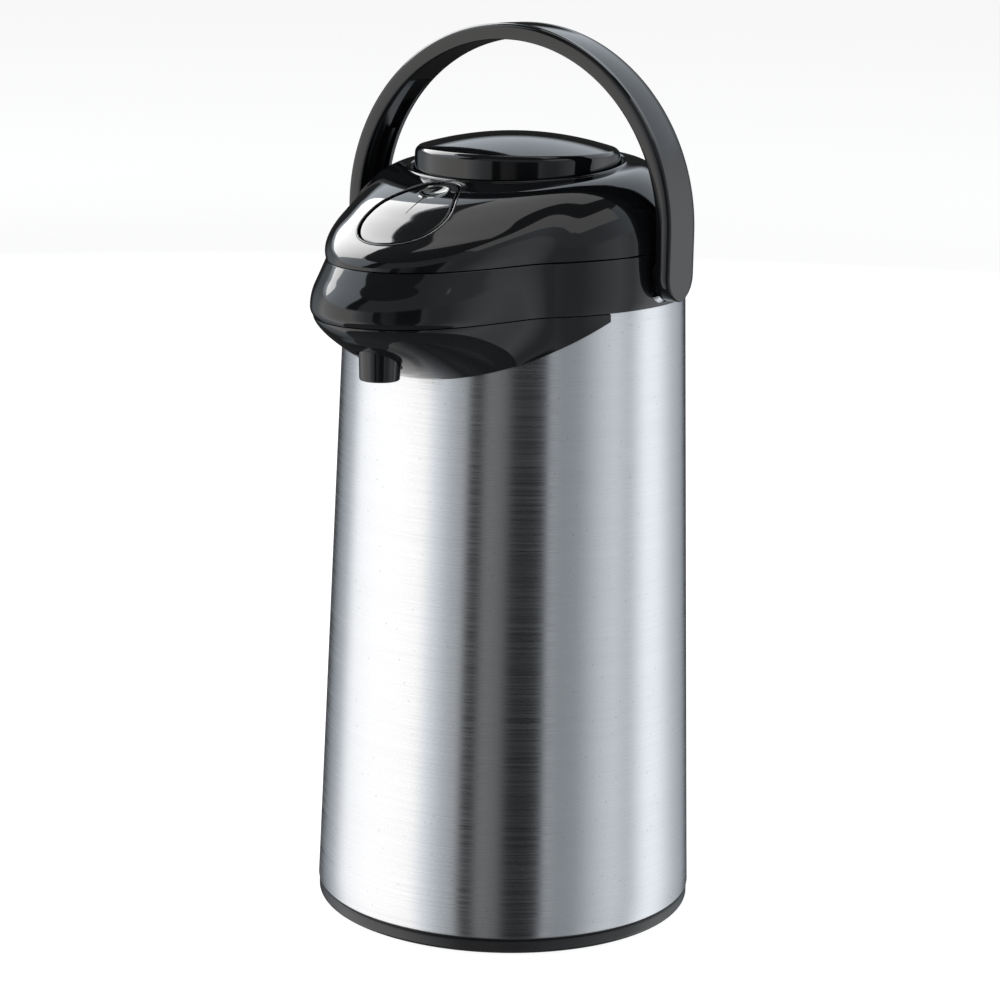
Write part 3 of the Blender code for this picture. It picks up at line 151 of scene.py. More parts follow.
class SurfaceGroups:
    """The effects that several finishes share, each a node group made once."""

    def __init__(self) -> None:
        """Builds the groups."""
        self.grain = self.moulded_grain()
        self.marks = self.handling_marks()
        self.brush = self.brush_lines()

    def moulded_grain(self) -> bpy.types.NodeTree:
        """Fine relief of a moulded surface, as a height."""
        board = shader_group(
            "moulded_grain", {"Place": "NodeSocketVector", "Cells": "NodeSocketFloat"},
            {"Height": "NodeSocketFloat"},
        )
        given = board.add("NodeGroupInput")
        noise = board.add(
            "ShaderNodeTexNoise",
            {
                "Vector": given.outputs["Place"], "Scale": given.outputs["Cells"],
                "Detail": 3.0, "Roughness": 0.55,
            },
        )
        board.add("NodeGroupOutput", {"Height": noise.outputs["Fac"]})
        return board.tree

    def handling_marks(self) -> bpy.types.NodeTree:
        """Soft patches where hands and cloths have dulled a surface, as a mask."""
        board = shader_group(
            "handling_marks", {"Place": "NodeSocketVector", "Patches": "NodeSocketFloat"},
            {"Mask": "NodeSocketFloat"},
        )
        given = board.add("NodeGroupInput")
        noise = board.add(
            "ShaderNodeTexNoise",
            {
                "Vector": given.outputs["Place"], "Scale": given.outputs["Patches"],
                "Detail": 5.0, "Roughness": 0.62, "Distortion": 0.4,
            },
        )
        mask = board.add(
            "ShaderNodeMapRange", {"Value": noise.outputs["Fac"], "From Min": 0.42, "From Max": 0.72}
        )
        board.add("NodeGroupOutput", {"Mask": mask.outputs["Result"]})
        return board.tree

    def brush_lines(self) -> bpy.types.NodeTree:
        """Lines brushed round a vertical axis: their height, and a slower change of tone."""
        board = shader_group(
            "brush_lines", {"Place": "NodeSocketVector", "Lines": "NodeSocketFloat"},
            {"Height": "NodeSocketFloat", "Tone": "NodeSocketFloat", "Specks": "NodeSocketFloat"},
        )
        given = board.add("NodeGroupInput")
        heights = []
        for round_scale, share in ((7.0, 1.0), (3.0, 0.09)):
            lines = board.add("ShaderNodeMath", {0: given.outputs["Lines"], 1: share}, operation="MULTIPLY")
            stretch = board.add(
                "ShaderNodeCombineXYZ", {"X": round_scale, "Y": round_scale, "Z": lines.outputs[0]}
            )
            scaled = board.add(
                "ShaderNodeVectorMath", {0: given.outputs["Place"], 1: stretch.outputs[0]},
                operation="MULTIPLY",
            )
            noise = board.add(
                "ShaderNodeTexNoise",
                {"Vector": scaled.outputs[0], "Scale": 1.0, "Detail": 3.0, "Roughness": 0.6},
            )
            heights.append(noise.outputs["Fac"])
        dots = board.add("ShaderNodeTexVoronoi", {"Vector": given.outputs["Place"], "Scale": 210.0})
        specks = board.add(
            "ShaderNodeMapRange",
            {"Value": dots.outputs["Distance"], "From Min": 0.10, "From Max": 0.05, "To Max": 1.0},
        )
        board.add(
            "NodeGroupOutput", {"Height": heights[0], "Tone": heights[1], "Specks": specks.outputs["Result"]}
        )
        return board.tree


GROUPS = SurfaceGroups()


def new_material(name: str) -> tuple[bpy.types.Material, Board, bpy.types.Node]:
    """Starts a material.

    Args:
        name: the material's name.

    Returns:
        The material, its node tree and its Principled shader.
    """
    made = bpy.data.materials.new(name)
    made.use_nodes = True
    return made, Board(made.node_tree), made.node_tree.nodes["Principled BSDF"]


def glow(board: Board, color: object, strength: float) -> None:
    """Makes a material's surface plain light, of a colour or of another node's output."""
    board.tree.nodes.remove(board.tree.nodes["Principled BSDF"])
    lamp = board.add("ShaderNodeEmission", {"Color": color, "Strength": strength})
    board.tree.links.new(lamp.outputs[0], board.tree.nodes["Material Output"].inputs["Surface"])


# ------------------------------------------------------------------ finishes
@dataclass(frozen=True)
class Moulded:
    """A moulded plastic or rubber."""

    name: str
    color: tuple[float, float, float]
    roughness: float
    dulled: float  # added to the roughness where it has been handled
    cells: float = 300.0  # grain cells in a metre
    relief: float = 0.000004
    lighter: float = 1.25  # how much lighter the handled patches are
    subsurface: float = 0.0
    coat: float = 0.0

    def material(self) -> bpy.types.Material:
        """Builds the finish's material."""
        made, board, shader = new_material(self.name)
        place = board.add("ShaderNodeTexCoord").outputs["Object"]
        grain = board.add("ShaderNodeGroup", node_tree=GROUPS.grain)
        marks = board.add("ShaderNodeGroup", node_tree=GROUPS.marks)
        for group, key, value in ((grain, "Cells", self.cells), (marks, "Patches", 26.0)):
            group.inputs[key].default_value = value
            made.node_tree.links.new(place, group.inputs["Place"])
        tone = board.add("ShaderNodeMix", {"Factor": marks.outputs["Mask"]}, data_type="RGBA")
        tone.inputs["A"].default_value = (*self.color, 1.0)
        tone.inputs["B"].default_value = (*(min(1.0, c * self.lighter) for c in self.color), 1.0)
        dull = board.add(
            "ShaderNodeMapRange",
            {
                "Value": marks.outputs["Mask"],
                "To Min": self.roughness, "To Max": self.roughness + self.dulled,
            },
        )
        bump = board.add("ShaderNodeBump", {"Height": grain.outputs["Height"], "Distance": self.relief})
        made.node_tree.links.new(tone.outputs["Result"], shader.inputs["Base Color"])
        made.node_tree.links.new(dull.outputs["Result"], shader.inputs["Roughness"])
        made.node_tree.links.new(bump.outputs["Normal"], shader.inputs["Normal"])
        shader.inputs["Subsurface Weight"].default_value = self.subsurface
        shader.inputs["Subsurface Scale"].default_value = 0.004
        shader.inputs["Coat Weight"].default_value = self.coat
        made.diffuse_color = (*self.color, 1.0)
        return made


@dataclass(frozen=True)
class Brushed:
    """Steel brushed round the pot's axis, or round a pin."""

    name: str
    color: tuple[float, float, float]
    roughness: float
    streaks: float  # spread of the roughness between lines
    lines: float  # lines in a metre
    relief: float
    anisotropy: float

    def material(self) -> bpy.types.Material:
        """Builds the finish's material."""
        made, board, shader = new_material(self.name)
        place = board.add("ShaderNodeTexCoord").outputs["Object"]
        brush = board.add("ShaderNodeGroup", node_tree=GROUPS.brush)
        brush.inputs["Lines"].default_value = self.lines
        made.node_tree.links.new(place, brush.inputs["Place"])
        dull = board.add(
            "ShaderNodeMapRange",
            {
                "Value": brush.outputs["Height"], "From Min": 0.3, "From Max": 0.7,
                "To Min": self.roughness - self.streaks, "To Max": self.roughness + self.streaks,
            },
        )
        tone = board.add("ShaderNodeMix", {"Factor": brush.outputs["Tone"]}, data_type="RGBA")
        tone.inputs["A"].default_value = (*(c * 0.96 for c in self.color), 1.0)
        tone.inputs["B"].default_value = (*(min(1.0, c * 1.04) for c in self.color), 1.0)
        speckled = board.add(
            "ShaderNodeMix", {"Factor": brush.outputs["Specks"], "A": tone.outputs["Result"]},
            data_type="RGBA",
        )
        speckled.inputs["B"].default_value = (*(c * 0.72 for c in self.color), 1.0)
        bump = board.add("ShaderNodeBump", {"Height": brush.outputs["Height"], "Distance": self.relief})
        made.node_tree.links.new(speckled.outputs["Result"], shader.inputs["Base Color"])
        made.node_tree.links.new(dull.outputs["Result"], shader.inputs["Roughness"])
        made.node_tree.links.new(bump.outputs["Normal"], shader.inputs["Normal"])
        shader.inputs["Metallic"].default_value = 1.0
        shader.inputs["Anisotropic"].default_value = self.anisotropy
        shader.inputs["Anisotropic Rotation"].default_value = 0.25
        made.diffuse_color = (*self.color, 1.0)
        return made


FINISHES: dict[Slot, Moulded | Brushed] = {
    Slot.STEEL: Brushed("brushed_steel_shell", (0.66, 0.67, 0.69), 0.28, 0.05, 1500.0, 0.0000006, 0.9),
    Slot.PIN: Brushed("turned_steel", (0.72, 0.72, 0.73), 0.24, 0.06, 2600.0, 0.000002, 0.4),
    Slot.GLOSS: Moulded("gloss_black_plastic", (0.0045, 0.0048, 0.0055), 0.045, 0.035, 90.0, 0.000006),
    Slot.BASE: Moulded("satin_black_plastic", (0.012, 0.012, 0.013), 0.26, 0.12, 1400.0, 0.000012),
    Slot.INNER: Moulded("natural_plastic", (0.70, 0.70, 0.67), 0.36, 0.12, 1200.0, 0.000010, 1.08, 0.15),
    Slot.TUBE: Moulded("clear_natural_plastic", (0.80, 0.80, 0.77), 0.22, 0.10, 700.0, 0.000006, 1.05, 0.3),
    Slot.RUBBER: Moulded("silicone_rubber", (0.52, 0.52, 0.50), 0.55, 0.15, 2200.0, 0.000016, 1.12, 0.1),
    Slot.MIRROR: Brushed("silvered_glass_wall", (0.84, 0.86, 0.88), 0.07, 0.02, 60.0, 0.000010, 0.0),
}
MATERIALS = {slot: finish.material() for slot, finish in FINISHES.items()}


# ------------------------------------------------------------------ shapes
def rounded(corners: Sequence[tuple[float, float, float]], steps: int = 5) -> list[tuple[float, float]]:
    """Rounds the corners of a line of (radius, height) points.

    Args:
        corners: each corner's radius from the axis, its height, and how far its rounding reaches.
        steps: points in each rounding.

    Returns:
        The line's (radius, height) points.
    """
    line = []
    for i, (r, z, reach) in enumerate(corners):
        here = Vector((r, z))
        if not reach or i in (0, len(corners) - 1):
            line.append((r, z))
            continue
        before = Vector(corners[i - 1][:2]) - here
        after = Vector(corners[i + 1][:2]) - here
        start = here + before.normalized() * min(reach, before.length * 0.48)
        end = here + after.normalized() * min(reach, after.length * 0.48)
        for k in range(steps + 1):
            t = k / steps
            point = start * (1 - t) ** 2 + here * 2 * t * (1 - t) + end * t * t
            line.append((point.x, point.y))
    return line


class Shape:
    """One piece's mesh while it is made, from closed shells."""

    def __init__(self, name: str) -> None:
        """Takes the piece's name."""
        self.name = name
        self.mesh = bmesh.new()

    def rings(self, rings: Sequence[Sequence[Vector]], closed: bool = False) -> None:
        """Skins rings of equal counts; the last meets the first, or both ends are capped."""
        rows = [[self.mesh.verts.new(p) for p in ring] for ring in rings]
        pairs = list(zip(rows, rows[1:]))
        if closed:
            pairs.append((rows[-1], rows[0]))
        for low, high in pairs:
            for i in range(len(low)):
                j = (i + 1) % len(low)
                self.mesh.faces.new((low[i], low[j], high[j], high[i]))
        if not closed:
            self.mesh.faces.new(rows[0][::-1])
            self.mesh.faces.new(rows[-1])

    def turned(self, line: Sequence[tuple[float, float]], forward: float = 0.0, segments: int = 160) -> None:
        """Turns (radius, height) points round a vertical line this far forward of the axis."""
        rows = []
        for radius, height in line:
            if radius < 1e-7:
                rows.append([self.mesh.verts.new((0.0, AXIS.y - forward, height))])
                continue
            turns = (math.tau * i / segments for i in range(segments))
            rows.append([
                self.mesh.verts.new((radius * math.sin(a), AXIS.y - forward - radius * math.cos(a), height))
                for a in turns
            ])
        pairs = list(zip(rows, rows[1:]))
        if len(rows[0]) > 1:
            pairs.append((rows[-1], rows[0]))
        for low, high in pairs:
            for i in range(segments):
                j = (i + 1) % segments
                if len(low) == 1:
                    self.mesh.faces.new((low[0], high[j], high[i]))
                elif len(high) == 1:
                    self.mesh.faces.new((low[i], low[j], high[0]))
                else:
                    self.mesh.faces.new((low[i], low[j], high[j], high[i]))

    def rod(self, start: Sequence[float], end: Sequence[float], radius: float, segments: int = 32) -> None:
        """Adds a round bar between two points."""
        start, end = Vector(start), Vector(end)
        turn = (end - start).to_track_quat("Z", "Y").to_matrix().to_4x4()
        place = Matrix.Translation((start + end) / 2) @ turn
        bmesh.ops.create_cone(
            self.mesh, cap_ends=True, segments=segments, radius1=radius, radius2=radius,
            depth=(end - start).length, matrix=place,
        )

    def block(self, low: Sequence[float], high: Sequence[float], edge: float = 0.0003) -> None:
        """Adds a box with rounded edges between its lowest and highest corners."""
        low, high = Vector(low), Vector(high)
        place = Matrix.Translation((low + high) / 2) @ Matrix.Diagonal((*(high - low), 1.0))
        made = bmesh.ops.create_cube(self.mesh, size=1.0, matrix=place)
        edges = {e for v in made["verts"] for e in v.link_edges}
        bmesh.ops.bevel(self.mesh, geom=list(edges), offset=edge, segments=2, profile=0.5, affect="EDGES")

    def piece(self) -> bpy.types.Object:
        """Ends the shape.

        Returns:
            A new object with its faces outwards, shaded smooth up to sharp corners.
        """
        bmesh.ops.remove_doubles(self.mesh, verts=self.mesh.verts, dist=1e-7)
        bmesh.ops.recalc_face_normals(self.mesh, faces=self.mesh.faces)
        data = bpy.data.meshes.new(self.name)
        self.mesh.to_mesh(data)
        self.mesh.free()
        made = bpy.data.objects.new(self.name, data)
        bpy.context.scene.collection.objects.link(made)
        shade(data)
        return made


def shade(data: bpy.types.Mesh) -> None:
    """Shades a mesh smooth up to sharp corners."""
    data.shade_smooth()
    data.set_sharp_from_angle(angle=SMOOTH_UP_TO)


def settled(piece: bpy.types.Object) -> bpy.types.Object:
    """Turns a piece's modifiers into its mesh."""
    graph = bpy.context.evaluated_depsgraph_get()
    data = bpy.data.meshes.new_from_object(piece.evaluated_get(graph))
    piece.modifiers.clear()
    piece.data = data
    shade(data)
    return piece


def carve(piece: bpy.types.Object, tools: Sequence[bpy.types.Object]) -> bpy.types.Object:
    """Cuts tools out of a piece and removes the tools."""
    for tool in tools:
        step = piece.modifiers.new(tool.name, "BOOLEAN")
        step.operation = "DIFFERENCE"
        step.solver = "EXACT"
        step.object = tool
    settled(piece)
    for tool in tools:
        bpy.data.objects.remove(tool)
    return piece


def merge(piece: bpy.types.Object, others: Sequence[bpy.types.Object]) -> bpy.types.Object:
    """Adds other objects' shells to a piece's mesh and removes them."""
    whole = bmesh.new()
    for part in (piece, *others):
        whole.from_mesh(part.data)
    whole.to_mesh(piece.data)
    whole.free()
    for part in others:
        bpy.data.objects.remove(part)
    return piece


def dress(piece: bpy.types.Object, body: Body, slot: Slot, *nodes: str) -> bpy.types.Object:
    """Gives a piece its finish, its body and the CAD nodes that it stands for."""
    piece.data.materials.clear()
    piece.data.materials.append(MATERIALS[slot])
    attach(piece, body.value)
    if nodes:
        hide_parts(*nodes)
    LOG.info("%s: %d faces on %s", piece.name, len(piece.data.polygons), body.value)
    return piece


# ------------------------------------------------------------------ geometry node trees
class PathTrees:
    """Geometry node trees for what repeats or follows a path."""

    def __init__(self) -> None:
        """Builds the trees."""
        self.bead = self.bead_tree()
        self.coil = self.coil_tree()
        self.copies = self.copies_tree()

    @staticmethod
    def start(name: str, inputs: dict[str, str]) -> Board:
        """Starts a tree with a geometry input and its own named inputs."""
        board = Board(bpy.data.node_groups.new(name, "GeometryNodeTree"))
        board.sockets({"Geometry": "NodeSocketGeometry", **inputs, "Finish": "NodeSocketMaterial"}, "INPUT")
        board.sockets({"Geometry": "NodeSocketGeometry"}, "OUTPUT")
        return board

    @staticmethod
    def end(board: Board, given: bpy.types.Node, result: bpy.types.NodeSocket) -> bpy.types.NodeTree:
        """Ends a tree with real geometry in its finish."""
        smooth = board.add("GeometryNodeSetShadeSmooth", {"Geometry": result})
        real = board.add("GeometryNodeRealizeInstances", {"Geometry": smooth.outputs[0]})
        painted = board.add(
            "GeometryNodeSetMaterial", {"Geometry": real.outputs[0], "Material": given.outputs["Finish"]}
        )
        board.add("NodeGroupOutput", {"Geometry": painted.outputs[0]})
        return board.tree

    @staticmethod
    def tube(
        board: Board, line: bpy.types.NodeSocket, radius: bpy.types.NodeSocket, sides: object
    ) -> bpy.types.Node:
        """A round tube along a curve, with this many sides."""
        circle = board.add("GeometryNodeCurvePrimitiveCircle", {"Resolution": sides, "Radius": radius})
        return board.add(
            "GeometryNodeCurveToMesh",
            {"Curve": line, "Profile Curve": circle.outputs["Curve"], "Fill Caps": True},
        )

    def bead_tree(self) -> bpy.types.NodeTree:
        """A round bead along the edges of a path."""
        board = self.start("bead_along_path", {"Radius": "NodeSocketFloat", "Sides": "NodeSocketInt"})
        given = board.add("NodeGroupInput")
        line = board.add("GeometryNodeMeshToCurve", {"Mesh": given.outputs["Geometry"]})
        tube = self.tube(board, line.outputs[0], given.outputs["Radius"], given.outputs["Sides"])
        return self.end(board, given, tube.outputs[0])

    def coil_tree(self) -> bpy.types.NodeTree:
        """A compression spring standing at a place."""
        board = self.start(
            "coil_spring",
            {
                "Radius": "NodeSocketFloat", "Wire": "NodeSocketFloat", "Height": "NodeSocketFloat",
                "Turns": "NodeSocketFloat", "Place": "NodeSocketVector",
            },
        )
        given = board.add("NodeGroupInput")
        line = board.add(
            "GeometryNodeCurveSpiral",
            {
                "Resolution": 28, "Rotations": given.outputs["Turns"], "Height": given.outputs["Height"],
                "Start Radius": given.outputs["Radius"], "End Radius": given.outputs["Radius"],
            },
        )
        tube = self.tube(board, line.outputs[0], given.outputs["Wire"], 12)
        placed = board.add(
            "GeometryNodeTransform", {"Geometry": tube.outputs[0], "Translation": given.outputs["Place"]}
        )
        return self.end(board, given, placed.outputs[0])

    def copies_tree(self) -> bpy.types.NodeTree:
        """Copies of a master at points, each turned to face away from a centre."""
        board = self.start(
            "copies_round_centre", {"Master": "NodeSocketObject", "Centre": "NodeSocketVector"}
        )
        given = board.add("NodeGroupInput")
        master = board.add("GeometryNodeObjectInfo", {"Object": given.outputs["Master"]})
        place = board.add("GeometryNodeInputPosition")
        outward = board.add(
            "ShaderNodeVectorMath", {0: place.outputs[0], 1: given.outputs["Centre"]}, operation="SUBTRACT"
        )
        flat = board.add("ShaderNodeVectorMath", {0: outward.outputs[0], 1: (1, 1, 0)}, operation="MULTIPLY")
        turn = board.add(
            "FunctionNodeAlignRotationToVector", {"Vector": flat.outputs[0]}, axis="X", pivot_axis="Z"
        )
        copies = board.add(
            "GeometryNodeInstanceOnPoints",
            {
                "Points": given.outputs["Geometry"], "Instance": master.outputs["Geometry"],
                "Rotation": turn.outputs[0],
            },
        )
        return self.end(board, given, copies.outputs[0])


TREES = PathTrees()


def grown(
    name: str, tree: bpy.types.NodeTree, points: Sequence[Vector], edges: Sequence[tuple[int, int]],
    slot: Slot, **inputs: object,
) -> bpy.types.Object:
    """Grows a piece with a geometry node tree.

    Args:
        name: the piece's name.
        tree: the tree.
        points: the source's points.
        edges: the source's edges.
        slot: the finish's slot.
        inputs: the tree's named inputs.

    Returns:
        A plain mesh object, with no modifier left on it.
    """
    source = bpy.data.meshes.new(name)
    source.from_pydata([tuple(p) for p in points], edges, [])
    made = bpy.data.objects.new(name, source)
    bpy.context.scene.collection.objects.link(made)
    step = made.modifiers.new(name, "NODES")
    step.node_group = tree
    named = {item.name: item.identifier for item in tree.interface.items_tree if item.in_out == "INPUT"}
    step[named["Finish"]] = MATERIALS[slot]
    for key, value in inputs.items():
        step[named[key]] = value
    bpy.context.view_layer.update()
    return settled(made)


def path_edges(count: int, closed: bool) -> list[tuple[int, int]]:
    """The edges of a line of points, or of a ring of them."""
    edges = [(i, i + 1) for i in range(count - 1)]
    return edges + [(count - 1, 0)] if closed else edges


# ------------------------------------------------------------------ the head's surfaces
HEAD_FRONT, HEAD_REAR = 72, 120
HEAD_ANGLES = [BEAK_HALF_ANGLE * (2 * i / HEAD_FRONT - 1) for i in range(HEAD_FRONT)] + [
    BEAK_HALF_ANGLE + 2 * (math.pi - BEAK_HALF_ANGLE) * i / HEAD_REAR for i in range(HEAD_REAR)
]


@dataclass(frozen=True)
class Section:
    """One level of the head: round, with a beak drawn out over the spout, and falling forwards."""

    side: float
    reach: float
    height: float
    front_fall: float = 0.0
    rear_fall: float = 0.0
    half_angle: float = BEAK_HALF_ANGLE

    def point(self, angle: float) -> Vector:
        """The point at an angle."""
        turn = math.remainder(angle, math.tau)
        drawn = 0.0
        if abs(turn) < self.half_angle:
            drawn = math.cos(turn / self.half_angle * math.pi / 2) ** 2
        radius = self.side + (self.reach - self.side) * drawn
        forward = radius * math.cos(turn)
        eased = math.hypot(forward, FALL_EASE) - FALL_EASE
        fall = (self.front_fall + self.rear_fall) / 2 * forward
        fall += (self.front_fall - self.rear_fall) / 2 * eased
        return Vector((radius * math.sin(turn), AXIS.y - forward, self.height - fall))

    def ring(self) -> list[Vector]:
        """The level's points all round."""
        return [self.point(angle) for angle in HEAD_ANGLES]

    def moved(self, inset: float, rise: float) -> "Section":
        """The level moved inwards and up."""
        return replace(self, side=self.side - inset, reach=self.reach - inset, height=self.height + rise)


def level(radius: float, height: float) -> Section:
    """A round, flat level."""
    return Section(radius, radius, height)


def between(sections: Sequence[Section], share: float) -> Section:
    """The level at a share of the way through a smooth run of levels."""
    place = share * (len(sections) - 1)
    i = min(int(place), len(sections) - 2)
    t = place - i
    near = [sections[max(0, min(len(sections) - 1, k))] for k in (i - 1, i, i + 1, i + 2)]

    def eased(p: float, q: float, r: float, s: float) -> float:
        """One size of the level, on a smooth curve through the four nearest levels."""
        square, cube = 2 * p - 5 * q + 4 * r - s, 3 * q - p - 3 * r + s
        return 0.5 * (2 * q + (r - p) * t + square * t**2 + cube * t**3)

    return Section(*(eased(*(getattr(one, size.name) for one in near)) for size in fields(Section)))


def rolled(section: Section, edge: float, upper: bool, steps: int = 4) -> list[Section]:
    """The levels of a rounded edge that ends at a section: below it, or above it for an upper edge."""
    levels = []
    for k in range(steps):
        turn = math.pi / 2 * k / steps
        inset = edge * (1 - math.sin(turn))
        rise = edge * (1 - math.cos(turn))
        levels.append(section.moved(inset, -rise if upper else rise))
    return levels[::-1] if upper else levels


BUTTON_LOW, BUTTON_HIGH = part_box("push_button")
HANDLE_LOW, HANDLE_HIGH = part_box("handle")
NOZZLE_LOW, NOZZLE_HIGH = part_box("spout_nozzle")
JOINTS = {joint["name"]: joint for joint in frame["joints"]}


# Shares of the way out from rim to seam at the side and the front, rise over the seam, and both falls
DOME_LEVELS = (
    (1.000, 1.000, 0.0000, 0.036, 0.0),
    (0.978, 0.989, 0.0068, 0.084, -0.0215),
    (0.911, 0.955, 0.0136, 0.130, -0.0360),
    (0.808, 0.883, 0.0198, 0.170, -0.0390),
    (0.661, 0.750, 0.0250, 0.192, -0.0260),
    (0.483, 0.585, 0.0289, 0.183, 0.0020),
    (0.269, 0.374, 0.0314, 0.147, 0.0420),
    (0.000, 0.000, 0.0322, 0.085, 0.0850),
)


@dataclass(frozen=True)
class Dome:
    """The lid's domed outside, from its seam with the collar up to the button's rim."""

    side: float = 0.0757
    reach: float = 0.1125
    seam: float = 0.3020
    slope: float = 0.036
    rim: float = 0.0486
    top_half_angle: float = math.radians(66)

    def sections(self) -> list[Section]:
        """The dome's main levels, from the seam to the rim."""
        levels = []
        for i, (side, reach, rise, front, rear) in enumerate(DOME_LEVELS):
            levels.append(Section(
                self.rim + (self.side - self.rim) * side, self.rim + (self.reach - self.rim) * reach,
                self.seam + rise, front, rear,
                BEAK_HALF_ANGLE + (self.top_half_angle - BEAK_HALF_ANGLE) * i / (len(DOME_LEVELS) - 1),
            ))
        return levels

    def height(self, x: float, forward: float) -> float:
        """Height of the dome over a point."""
        angle, distance = math.atan2(x, forward), math.hypot(x, forward)
        sections = self.sections()
        low, high = 0.0, 1.0
        for _ in range(18):
            middle = (low + high) / 2
            point = between(sections, middle).point(angle)
            if math.hypot(point.x, point.y - AXIS.y) > distance:
                low = middle
            else:
                high = middle
        return between(sections, low).point(angle).z

    def on_top(self, x: float, forward: float, lift: float = 0.0) -> Vector:
        """The point of the dome over a place."""
        return Vector((x, AXIS.y - forward, self.height(x, forward) + lift))


DOME = Dome()


@dataclass(frozen=True)
class LeverPlan:
    """The release lever's teardrop outline, seen from above."""

    rear: float = 0.0522
    front: float = 0.1010
    rear_half: float = 0.0107
    front_half: float = 0.0190

    def outline(self, grow: float, steps: int = 24) -> list[tuple[Vector, Vector]]:
        """Outline points, each with the point of the lever's middle line that it belongs to.

        Args:
            grow: how far outside the lever the outline runs.
            steps: points in each round end, and along each side.

        Returns:
            Pairs of (x, forward) vectors.
        """
        rear_centre = Vector((0.0, self.rear + self.rear_half))
        front_centre = Vector((0.0, self.front - self.front_half))
        lean = math.asin((self.front_half - self.rear_half) / (front_centre - rear_centre).length)
        pairs = []
        ends = (
            (front_centre, self.front_half + grow, -lean, math.pi + 2 * lean),
            (rear_centre, self.rear_half + grow, math.pi + lean, math.pi - 2 * lean),
        )
        for (centre, radius, start, sweep), (following, other, _, _) in zip(ends, ends[::-1]):
            for i in range(steps + 1):
                turn = start + sweep * i / steps
                pairs.append((centre + radius * Vector((math.cos(turn), math.sin(turn))), centre))
            last = pairs[-1][0]
            turn = start + sweep
            target = following + other * Vector((math.cos(turn), math.sin(turn)))
            for i in range(1, steps // 2):
                share = i / (steps // 2)
                pairs.append((last.lerp(target, share), centre.lerp(following, share)))
        return pairs


LEVER_PLAN = LeverPlan()


# ------------------------------------------------------------------ body and base
@dataclass
class SteelBody:
    """The tapered steel shell and the ring that it stands on."""

    top_radius: float = 0.0752
    edge_height: float = 0.2790  # the collar's lower edge, where the top radius is measured
    wall: float = 0.0006
    hem: float = 0.0008

    def radius(self, height: float) -> float:
        """Outside radius of the steel."""
        low = STEEL_LOW.z
        return STEEL_HIGH.x + (self.top_radius - STEEL_HIGH.x) * (height - low) / (self.edge_height - low)

    def make_shell(self) -> None:
        """Turns the shell, with its lower edge folded in."""
        low, high = STEEL_LOW.z, STEEL_HIGH.z
        line = [(self.radius(low) - self.wall - self.hem, low), (self.radius(low) - self.hem, low)]
        for k in range(1, 5):
            turn = math.pi / 2 * k / 4
            line.append((
                self.radius(low) - self.hem * (1 - math.sin(turn)), low + self.hem * (1 - math.cos(turn)),
            ))
        steps = 24
        for k in range(1, steps + 1):
            height = low + self.hem + (high - low - self.hem) * k / steps
            line.append((self.radius(height), height))
        line.append((self.radius(high) - self.wall, high))
        line.append((self.radius(low) - self.wall - self.hem, low + 2 * self.hem))
        shape = Shape("steel_shell")
        shape.turned(line, segments=256)
        dress(shape.piece(), Body.POT, Slot.STEEL, "outer_shell")

    def make_ring(self) -> None:
        """Turns the black foot ring, with a shadow groove under the steel."""
        low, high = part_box("base_ring")
        outer = high.x
        top = STEEL_LOW.z - GAP
        foot = outer - 0.0012
        inner = foot - 0.0050
        spigot = self.radius(high.z) - self.wall - GAP
        corners = [
            (inner, 0.0006, 0.0), (inner + 0.0006, 0.0, 0.0003), (foot, 0.0, 0.0008), (outer, 0.0014, 0.0008),
            (outer, top - 0.0012, 0.0004), (outer - 0.0012, top - 0.0004, 0.0003), (spigot, top, 0.0002),
            (spigot, high.z, 0.0005), (inner - 0.0080, high.z, 0.0005), (inner - 0.0080, 0.0083, 0.0003),
            (inner, 0.0083, 0.0),
        ]
        shape = Shape("foot_ring")
        shape.turned(rounded(corners), segments=200)
        dress(shape.piece(), Body.POT, Slot.BASE, "base_ring")

    def make_base_details(self) -> None:
        """Stiffening ribs under the base cover."""
        cover_low, cover_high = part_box("base_cover")
        rib_low = cover_low.z - 0.0016
        inner, outer = 0.0405, cover_high.x - 0.0075
        master = Shape("rib_master")
        master.block((-(outer - inner) / 2, -0.0008, 0.0), ((outer - inner) / 2, 0.0008, 0.0014))
        rib = master.piece()
        middle = (inner + outer) / 2
        turns = [math.tau * (i + 0.5) / 18 for i in range(18)]
        points = [AXIS + Vector((middle * math.sin(a), middle * math.cos(a), rib_low)) for a in turns]
        ribs = grown("base_ribs", TREES.copies, points, [], Slot.BASE, Master=rib, Centre=tuple(AXIS))
        bpy.data.objects.remove(rib)
        dress(ribs, Body.POT, Slot.BASE)


